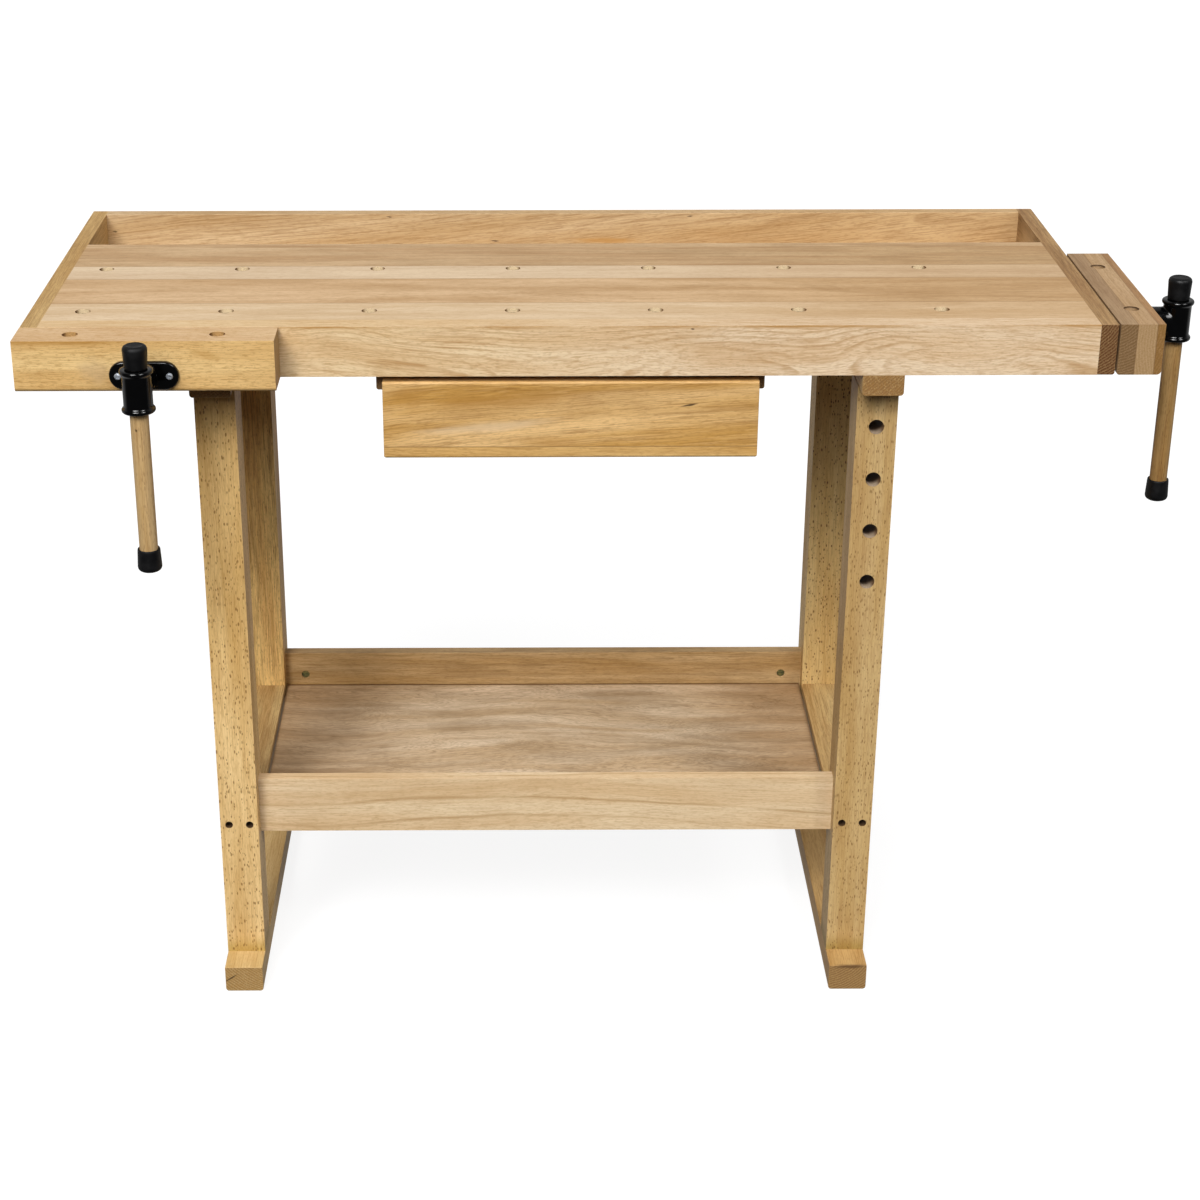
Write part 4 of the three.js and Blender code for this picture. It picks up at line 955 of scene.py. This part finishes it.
def make_shelf():
    wooden("shelf_front_board", "shelf", "x", (-55, 26), 0.7)
    wooden("shelf_back_board", "back_board", "x", (80, -60), 0.7)
    low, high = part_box("shelf_plate")
    reach = 0.3 * (high.x - low.x)
    # Painted shade: the shelf plate darkens towards both ends, over the outer 30 % of its length, near the legs
    fades = [("x", low.x + reach, low.x, PLATE_END_PAINTED_SHADE), ("x", high.x - reach, high.x, PLATE_END_PAINTED_SHADE)]
    # Painted contact shade: faint lines along the plate's ends and a strong one where it meets the back board
    seams = [("x", low.x, PLATE_END_CONTACT_SHADE_WIDTH, FAINT), ("x", high.x, PLATE_END_CONTACT_SHADE_WIDTH, FAINT)]
    seams.append(("y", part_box("shelf_back_board")[0].y, BACK_BOARD_CONTACT_SHADE_WIDTH, STRONG))
    wooden("shelf_plate", "plate", "x", (120, -300), 0.4, fades=fades, seams=seams)
    for board, inwards in (("front", 1), ("back", -1)):
        for side, outwards in (("left", -1), ("right", 1)):
            make_barrel_nut(f"shelf_{board}_{side}_barrel_nut", inwards)
            make_bolt(f"shelf_{board}_{side}_bolt", outwards)


def make_barrel_nut(node, way):
    """A cross-dowel nut with a slotted face on the board's inner side and a cross bore."""
    matrix = axis_matrix("y", middle_of(node))
    radius = size_of(node).x / 2
    half = size_of(node).y / 2
    mesh = turned(softened(rod(radius, -half, half), 0.8 * MM), matrix, SMALL_LATHE_SIDES)
    cross = [axis_matrix("x", middle_of(node))]
    bore = rods(cross, NUT_BORE_RADIUS, -2 * radius, 2 * radius, SMALL_LATHE_SIDES)
    low, high = sorted((way * (half - NUT_SLOT_DEPTH), way * (half + MM)))
    slot = blocks([((-radius, -NUT_SLOT_HALF, low), (radius, NUT_SLOT_HALF, high))], matrix)
    add_finished(node, "slotted", carved(carved(mesh, bore), slot))


def make_bolt(node, way):
    """A machine bolt whose socket head lies in the leg's outer face, on the side of way."""
    length = size_of(node).x
    head = size_of(node).z / 2
    shank = BOLT_SHANK_RADIUS
    outline = [(0, 0), (head, 0), (head, BOLT_HEAD_HEIGHT), (shank, BOLT_HEAD_HEIGHT)]
    outline += [(shank, length), (0, length)]
    start = middle_of(node) + Vector((way * length / 2, 0, 0))
    matrix = Matrix.Translation(start) @ Matrix.Rotation(-way * math.pi / 2, 4, "Y")
    mesh = turned(softened(outline, 0.5 * MM), matrix, SMALL_LATHE_SIDES)
    add_finished(node, "socket_head", carved(mesh, rods([matrix], BOLT_SOCKET, -MM, BOLT_SOCKET, sides=6)))


def make_drawer():
    marks = face_marks(
        "drawer_front",
        (555, 798, 120.0, 12.0, -0.04, "AA7830", 0.6),
        (440, 800, 26.0, 16.0, 0.0, "B07F38", 0.5),
        (530, 765, 110.0, 9.0, -0.1, "E0C49C", 0.55),
        (600, 748, 60.0, 8.0, 0.0, "B98B4C", 0.45),
        (764, 792, 13.0, 1.9, -0.2, DARK_MARK, STRONG),
    )
    front = wooden("drawer_front", "drawer", "x", (-70, 26), 0.8)
    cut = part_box("drawer_front")[0].z + DRAWER_STRIP
    split_boards(front, "z", [cut], ("drawer_strip", "drawer"), "x", ((-40, 30), (-70, 26)),
                 [{}, dict(marks=marks)])
    for side, way in (("left", -1), ("right", 1)):
        wooden(f"drawer_{side}_side", "drawer_box", "y", (way * 60, -40), 0.8)
        wooden(f"{side}_runner", "runner", "y", (way * 40, 70), 0.8, ("z1",))
    wooden("drawer_back", "drawer_box", "x", (60, 40), 0.8)
    wooden("drawer_bottom", "plate", "x", (70, -200), 0.3)


# Vises

ESCUTCHEON_SCREW_SPACING = 58 * MM
ESCUTCHEON_HOLE_RADIUS = 2.3 * MM
# The plate's rolled rim: insets in millimetres, each at a share of the plate's thickness
ESCUTCHEON_RIM = ((0, 0), (0, 0.45), (0.25, 0.68), (0.8, 0.88), (1.7, 1.0))
JOURNAL_RADIUS = 8 * MM
SPINDLE_RADIUS = 10 * MM
THREAD_DEPTH = 1.6 * MM
THREAD_LEAD = 5 * MM
THREAD_STEPS = 10
THREAD_SIDES = 36
CREST_HALF = 0.15       # half the crest's width, as a share of the lead
FLANK = 1 / 6           # a flank's width, as a share of the lead
HUB_SLEEVE_RADIUS = 16.5 * MM
HUB_BOSS_RADIUS = 15 * MM
HUB_COLLAR_RADIUS = 16.5 * MM
HUB_COLLAR_THICK = 4 * MM
HUB_FLANGE_THICK = 5.5 * MM
HUB_RIM = 1.6 * MM
HUB_UNDERCUT = 1.2 * MM
HUB_SOCKET_DEPTH = 22 * MM
HUB_BORE_RADIUS = 10.9 * MM
HUB_VOXEL = 0.8 * MM
CAP_FLOOR = 5 * MM      # how thick a rubber cap is beyond the end of its bar
CASTING_PLATE = 8 * MM
CASTING_BOSS_STEP = 6 * MM
CASTING_JOIN = 3 * MM
CASTING_BOSS_RADII = (12 * MM, 13 * MM)
CASTING_SCREW_BORE = 10.3 * MM
CASTING_GUIDE_BORE = 8.3 * MM


class ViseFrame:
    """A vise's own frame: Z outwards from the bench's wall, on the screw's axis, with X along the jaw
    and Y up. Places along Z are read from the CAD boxes."""

    def __init__(self, name):
        self.name = name
        outwards = Vector(JOINTS[f"{name}_screw_turn"]["axis"])
        self.axis = max(range(3), key=lambda i: abs(outwards[i]))
        self.sign = outwards[self.axis]
        self.origin = Vector(JOINTS[f"{name}_screw_turn"]["pos_m"])
        up = Vector((0, 0, 1))
        self.matrix = Matrix.Translation(self.origin) @ Matrix(
            (up.cross(outwards), up, outwards)
        ).transposed().to_4x4()

    def span(self, piece):
        """How near and how far out a CAD piece reaches along the screw's axis."""
        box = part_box(f"{self.name}_{piece}")
        return sorted(self.sign * (corner[self.axis] - self.origin[self.axis]) for corner in box)

    def at(self, along, up=0.0):
        """The matrix of a place on the jaw, with Z outwards."""
        return self.matrix @ Matrix.Translation((along, up, 0))

    def upright(self, out):
        """The matrix of an upright axis through the screw's axis at a distance outwards."""
        return Matrix.Translation(self.matrix @ Vector((0, 0, out)))


def stadium(length, height, inset=0.0, steps=20):
    """The corners of a slot-shaped outline with round ends, in X and Y."""
    radius = height / 2 - inset
    straight = (length - height) / 2
    corners = []
    for way, start in ((1, -math.pi / 2), (-1, math.pi / 2)):
        for i in range(steps + 1):
            angle = start + math.pi * i / steps
            corners.append((way * straight + radius * math.cos(angle), radius * math.sin(angle)))
    return corners


def layered(rings, matrix):
    """A closed solid through outlines at heights, each with as many corners as the next."""
    shape = bmesh.new()
    loops = bridge(shape, rings, matrix)
    shape.faces.new(list(reversed(loops[0])))
    shape.faces.new(loops[-1])
    return closed(shape, "layered")


def slot_size(node):
    """The length and the height of a slot-shaped plate that stands upright."""
    size = size_of(node)
    return max(size.x, size.y), size.z


def make_escutcheon(vise):
    """A stamped slot-shaped plate with a rolled rim, and its two cross-head screws."""
    node = f"{vise.name}_escutcheon"
    back, face = vise.span("escutcheon")
    length, height = slot_size(node)
    rings = [
        (stadium(length, height, inset * MM), back + rise * (face - back))
        for inset, rise in ESCUTCHEON_RIM
    ]
    plate = layered(rings, vise.matrix)
    plate = carved(plate, rods([vise.matrix], JOURNAL_RADIUS + 0.5 * MM, back - MM, face + MM))
    places = [vise.at(way * ESCUTCHEON_SCREW_SPACING / 2) for way in (-1, 1)]
    holes = rods(places, ESCUTCHEON_HOLE_RADIUS, back - MM, face + MM, SMALL_LATHE_SIDES)
    add_finished(node, "plate", carved(plate, holes))
    for number in (1, 2):
        make_cross_screw(vise, f"{node}_screw_{number}")


def make_cross_screw(vise, node):
    """A pan-head screw with a cross recess."""
    tip, top = vise.span(node.removeprefix(f"{vise.name}_"))
    head = size_of(node).z / 2
    seat = top - 2.6 * MM
    shank = 2 * MM
    outline = [(0, tip), (shank * 0.4, tip), (shank, tip + 4 * MM), (shank, seat), (head, seat)]
    outline += [(head, seat + 0.9 * MM), (head * 0.7, top - 0.3 * MM), (0, top)]
    place = vise.matrix.inverted() @ middle_of(node)
    matrix = vise.at(place.x, place.y) @ Matrix.Rotation(0.5, 4, "Z")
    mesh = turned(softened(outline, 0.5 * MM, 3), matrix, SMALL_LATHE_SIDES)
    wide, narrow, deep = 2.7 * MM, 0.85 * MM, 2.1 * MM
    arms = ((wide, narrow), (narrow, wide))
    cross = blocks([((-x, -y, top - deep), (x, y, top + MM)) for x, y in arms], matrix)
    recess = modified(cross, ("REMESH", {"mode": "VOXEL", "voxel_size": 0.15 * MM}))
    add_finished(node, "cross_head", carved(mesh, recess), 30)


def make_hub(vise):
    """The cast tee: an upright sleeve with beaded rims on a stout boss, softened as a casting is."""
    node = f"{vise.name}_hub"
    near, far = vise.span("hub")
    size = size_of(node)
    half = size.z / 2
    flange = min(size.x, size.y) / 2
    out = far - flange
    neck = half - HUB_FLANGE_THICK
    rim = [(0, half), (flange - HUB_RIM, half), (flange, half - HUB_RIM), (flange, neck + HUB_UNDERCUT)]
    rim += [(flange - HUB_UNDERCUT, neck), (HUB_SLEEVE_RADIUS, neck - 1.5 * MM)]
    upper = softened(rim, 1.4 * MM)
    profile = [(point.x, -point.y) for point in upper] + [tuple(point) for point in reversed(upper)]
    sleeve = turned(profile, vise.upright(out))
    collar_end = near + HUB_COLLAR_THICK
    boss = [(0, near), (HUB_COLLAR_RADIUS, near), (HUB_COLLAR_RADIUS, collar_end)]
    boss += [(HUB_BOSS_RADIUS, collar_end + 2 * MM), (HUB_BOSS_RADIUS, out - HUB_SLEEVE_RADIUS)]
    boss += [(HUB_BOSS_RADIUS + 1.2 * MM, out - HUB_SLEEVE_RADIUS / 2), (0, out)]
    stem = turned(softened(boss, 1.2 * MM), vise.matrix)
    cast = modified(
        carved(sleeve, stem, "UNION"),
        ("REMESH", {"mode": "VOXEL", "voxel_size": HUB_VOXEL}),
        ("SMOOTH", {"factor": 0.5, "iterations": 5}),
    )
    cast = carved(cast, rods([vise.upright(out)], HUB_BORE_RADIUS, -2 * half, 2 * half))
    socket = rods([vise.matrix], JOURNAL_RADIUS + 0.3 * MM, near - 5 * MM, near + HUB_SOCKET_DEPTH)
    add_finished(node, "cast", carved(cast, socket), 50)
    return out


def thread_ring(along, root):
    """The outline of a screw where a plane across its axis cuts its trapezoid thread."""
    outline = []
    for i, (x, y) in enumerate(circle(1.0, THREAD_SIDES)):
        phase = (along / THREAD_LEAD - i / THREAD_SIDES) % 1.0
        rise = 1.0 - (abs(phase - 0.5) - CREST_HALF) / FLANK
        radius = root + THREAD_DEPTH * min(1.0, max(0.0, rise))
        outline.append((radius * x, radius * y))
    return outline


def make_spindle(vise):
    """The vise screw: a trapezoid thread, a plain neck in the jaw and a journal in the hub."""
    node = f"{vise.name}_screw_spindle"
    rear, tip = vise.span("screw_spindle")
    jaw_near, jaw_far = vise.span("jaw")
    start = rear + 3 * MM
    end = jaw_near + 6 * MM
    root = SPINDLE_RADIUS - THREAD_DEPTH
    tail = [(0, rear), (root - 2 * MM, rear), (root - MM, start - MM)]
    neck = [(SPINDLE_RADIUS, end + 0.5 * MM), (SPINDLE_RADIUS, jaw_far), (JOURNAL_RADIUS, jaw_far)]
    neck += [(JOURNAL_RADIUS, tip - MM), (JOURNAL_RADIUS - MM, tip), (0, tip)]
    count = int((end - start) / THREAD_LEAD * THREAD_STEPS)
    steps = [start + (end - start) * i / count for i in range(count + 1)]
    rings = [(circle(radius, THREAD_SIDES), along) for radius, along in tail]
    rings += [(thread_ring(along, root), along) for along in steps]
    rings += [(circle(radius, THREAD_SIDES), along) for radius, along in neck]
    shape = bmesh.new()
    bridge(shape, rings, vise.matrix)
    add_finished(node, "threaded", closed(shape, node), 40)


def make_handle(vise, out):
    """A wooden bar with moulded rubber caps pushed over its ends."""
    handle = f"{vise.name}_handle"
    node = f"{handle}_dowel"
    matrix = vise.upright(out)
    axis = matrix.translation
    base = vise.origin.z
    low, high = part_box(node)
    radius = (high.x - low.x) / 2
    bar = turned(softened(rod(radius, low.z - base, high.z - base), 1.2 * MM), matrix)
    dot = axis + Vector((-3 * MM, -radius, -44 * MM))
    marks = [(dot, Vector((2.2, 3, 2.6)) * MM, 0, DARK_MARK, 0.9)] if vise.name == "front" else []
    pith = (axis.x + 9 * MM, axis.y + 14 * MM)
    material = wood(f"{node}_wood", f"{vise.name}_dowel", "z", pith, marks)
    add_piece(f"{handle}_bar", smooth(bar), BODIES[node], SLOTS[node], [material], [node])
    inside = radius + 0.3 * MM
    for end, way in (("upper", 1), ("lower", -1)):
        cap = f"{handle}_{end}_cap"
        low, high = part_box(cap)
        mouth = (low.z if way > 0 else high.z) - base
        length = high.z - low.z
        widest = (high.x - low.x) / 2
        outline = [(0, length - CAP_FLOOR), (inside, length - CAP_FLOOR), (inside, 0)]
        outline += [(widest - 1.4 * MM, 0), (widest - MM, 2 * MM), (widest, length - 4.5 * MM)]
        outline += [(widest - 1.2 * MM, length - 1.6 * MM), (widest - 4.2 * MM, length)]
        outline += [(widest - 6 * MM, length - 0.7 * MM), (0, length - 0.9 * MM)]
        rounded = [(point.x, mouth + way * point.y) for point in softened(outline, 2.4 * MM, 6)]
        add_finished(cap, "moulded", turned(rounded, matrix), 60)


def make_guides(vise):
    """Two steel guide rods fixed in the jaw, and the casting with the nut and guide bosses."""
    places = []
    for number in (1, 2):
        node = f"{vise.name}_guide_rod_{number}"
        near, far = vise.span(f"guide_rod_{number}")
        radius = size_of(node).z / 2
        place = vise.at((vise.matrix.inverted() @ middle_of(node)).x)
        places.append(place)
        outline = [(0, near), (radius - 1.2 * MM, near), (radius, near + 1.2 * MM), (radius, far), (0, far)]
        add_finished(node, "turned", turned(softened(outline, 0.5 * MM), place, SMALL_LATHE_SIDES))
    node = f"{vise.name}_guide_casting"
    near, far = vise.span("guide_casting")
    length, height = slot_size(node)
    back = far - CASTING_PLATE
    outline = stadium(length, height)
    rings = [(stadium(length, height, MM), back), (outline, back + MM), (outline, far)]
    cast = layered(rings, vise.matrix)
    front = far - CASTING_JOIN
    nut = [(0, near), (height / 2 - 1.5 * MM, near), (height / 2 - 0.2 * MM, front), (0, front)]
    cast = carved(cast, turned(softened(nut, MM), vise.matrix), "UNION")
    start = near + CASTING_BOSS_STEP
    boss = [(0, start), (CASTING_BOSS_RADII[0], start), (CASTING_BOSS_RADII[1], front), (0, front)]
    for place in places:
        cast = carved(cast, turned(softened(boss, MM), place), "UNION")
    cast = carved(cast, rods([vise.matrix], CASTING_SCREW_BORE, near - MM, far + MM))
    cast = carved(cast, rods(places, CASTING_GUIDE_BORE, near - MM, far + MM))
    add_finished(node, "cast", cast)


def make_vise(name):
    vise = ViseFrame(name)
    make_escutcheon(vise)
    out = make_hub(vise)
    make_spindle(vise)
    make_handle(vise, out)
    make_guides(vise)


def make_jaws():
    low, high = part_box("front_jaw")
    stains = [(high.z, 11 * MM), (low.z, 6 * MM)]
    marks = face_marks(
        "front_jaw",
        (92, 852, 26.0, 20.0, 0.0, "C3A47A", 0.5),
        (216, 872, 24.0, 7.0, 0.2, "B98A44", 0.5),
    )
    dogs = opening_places("z", "front_jaw_dog")
    jaw = wooden("front_jaw", "jaw", "x", (36, -70), holes=dog_holes(dogs), stains=stains, marks=marks)
    # Painted shade: the front jaw's dog holes darken from 5.5 mm to 9 mm below its top
    line_bores(jaw, dogs, "front_jaw_hole_wood", "x", "z", mouth=high.z, reach=(5.5, 9), tint="BC9158",
               end_tint="7A522A")
    dogs = opening_places("z", "tail_jaw_dog")
    jaw = wooden("tail_jaw", "tail_grey", "y", (0, 60), holes=dog_holes(dogs))
    low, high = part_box("tail_jaw")
    cuts = [low.x + cut * MM for cut in TAIL_LAMINATIONS]
    looks = ("tail_grey", "tail_pale", "tail_red")
    split_boards(jaw, "x", cuts, looks, "y", ((-50, 66), (160, 14), (-90, 36)), ({}, {}, {}))
    line_bores(jaw, dogs, "tail_jaw_hole_wood", "y", "z", mouth=high.z, reach=(3, 0.5), tint="967650",
               end_tint="AA8A64")


# Stage, light and camera

FLOOR_SIZE = 60.0
FLOOR_GLOW = 0.86
GREY = (0.18, 0.18, 0.18, 1)
WHITE = (1, 1, 1, 1)
BACKDROP_LIGHT = 0.4
BACKDROP_EDGES = (-0.1, 0.3)
ROOM_LIGHT = 0.05
BACKGROUND = 1.0
PHOTO_SIZE = 1200
FOCAL_PIXELS = 2362.3
PRINCIPAL_PIXEL = (528.8, 593.3)
SENSOR = 36.0
# The camera's place, in millimetres from the worktop's left front corner over the floor
CAMERA_PLACE = Vector((573.2, -2574.8, 1700.0))
CAMERA_PITCH = 0.4181
CAMERA_YAW = -0.0019
CAMERA_ROLL = -0.0021


def make_camera():
    data = bpy.data.cameras.new("camera")
    data.sensor_width = SENSOR
    data.lens = FOCAL_PIXELS * SENSOR / PHOTO_SIZE
    data.shift_x = (PHOTO_SIZE / 2 - PRINCIPAL_PIXEL[0]) / PHOTO_SIZE
    data.shift_y = -(PHOTO_SIZE / 2 - PRINCIPAL_PIXEL[1]) / PHOTO_SIZE
    camera = linked("camera", data)
    camera.matrix_world = (
        Matrix.Translation(Vector((LEFT_END, FRONT, 0)) + CAMERA_PLACE * MM)
        @ Matrix.Rotation(CAMERA_YAW, 4, "Z")
        @ Matrix.Rotation(math.pi / 2 - CAMERA_PITCH, 4, "X")
        @ Matrix.Rotation(CAMERA_ROLL, 4, "Z")
    )
    bpy.context.scene.camera = camera


def make_sun(name, azimuth, elevation, spread, power, glossy=True):
    """A soft light from a direction: degrees right of the camera's side, degrees up, degrees wide."""
    data = bpy.data.lights.new(name, "SUN")
    data.energy = power
    data.angle = math.radians(spread)
    light = linked(name, data)
    light.rotation_euler = (math.radians(90 - elevation), 0, math.radians(azimuth))
    light.visible_glossy = glossy


def make_world():
    """A pale backdrop behind the bench and a dim room in front of it, both pale to the camera."""
    shader = Shader("studio", bpy.data.worlds, "Background")
    bpy.context.scene.world = shader.owner
    depth = shader.split(shader.places["Generated"])["Y"]
    light = shader.ramp(depth, *BACKDROP_EDGES, ROOM_LIGHT, BACKDROP_LIGHT, "LINEAR")
    seen = shader.add("ShaderNodeLightPath").outputs["Is Camera Ray"]
    choice = shader.add("ShaderNodeMix", {"Factor": seen, "A": light, "B": BACKGROUND})
    shader.set(Color=WHITE, Strength=choice.outputs["Result"])


def make_stage():
    shape = bmesh.new()
    bmesh.ops.create_grid(shape, x_segments=1, y_segments=1, size=FLOOR_SIZE / 2)
    floor = linked("floor", to_mesh(shape, "floor"))
    shader = Shader("pale_floor")
    shader.set(Base_Color=GREY, Roughness=0.8, Emission_Color=WHITE, Emission_Strength=FLOOR_GLOW)
    floor.data.materials.append(shader.owner)
    floor.visible_diffuse = False
    floor.visible_glossy = False
    floor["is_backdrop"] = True
    make_world()
    make_sun("key", azimuth=-18, elevation=38, spread=34, power=2.35)
    make_sun("high", azimuth=-12, elevation=62, spread=44, power=0.92, glossy=False)
    make_sun("sparkle", azimuth=-21, elevation=42, spread=9, power=0.5)
    make_sun("fill", azimuth=45, elevation=40, spread=26, power=0.7)
    make_sun("fill_sparkle", azimuth=47, elevation=42, spread=8, power=0.35)
    bpy.context.scene.view_settings.view_transform = "Standard"


make_worktop()
make_trestles()
make_shelf()
make_drawer()
make_jaws()
make_vise("front")
make_vise("tail")
make_stage()
make_camera()

boxes = {"cad": cad_box, "visual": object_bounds()}
{name: [list(corner) for corner in box] for name, box in boxes.items()}
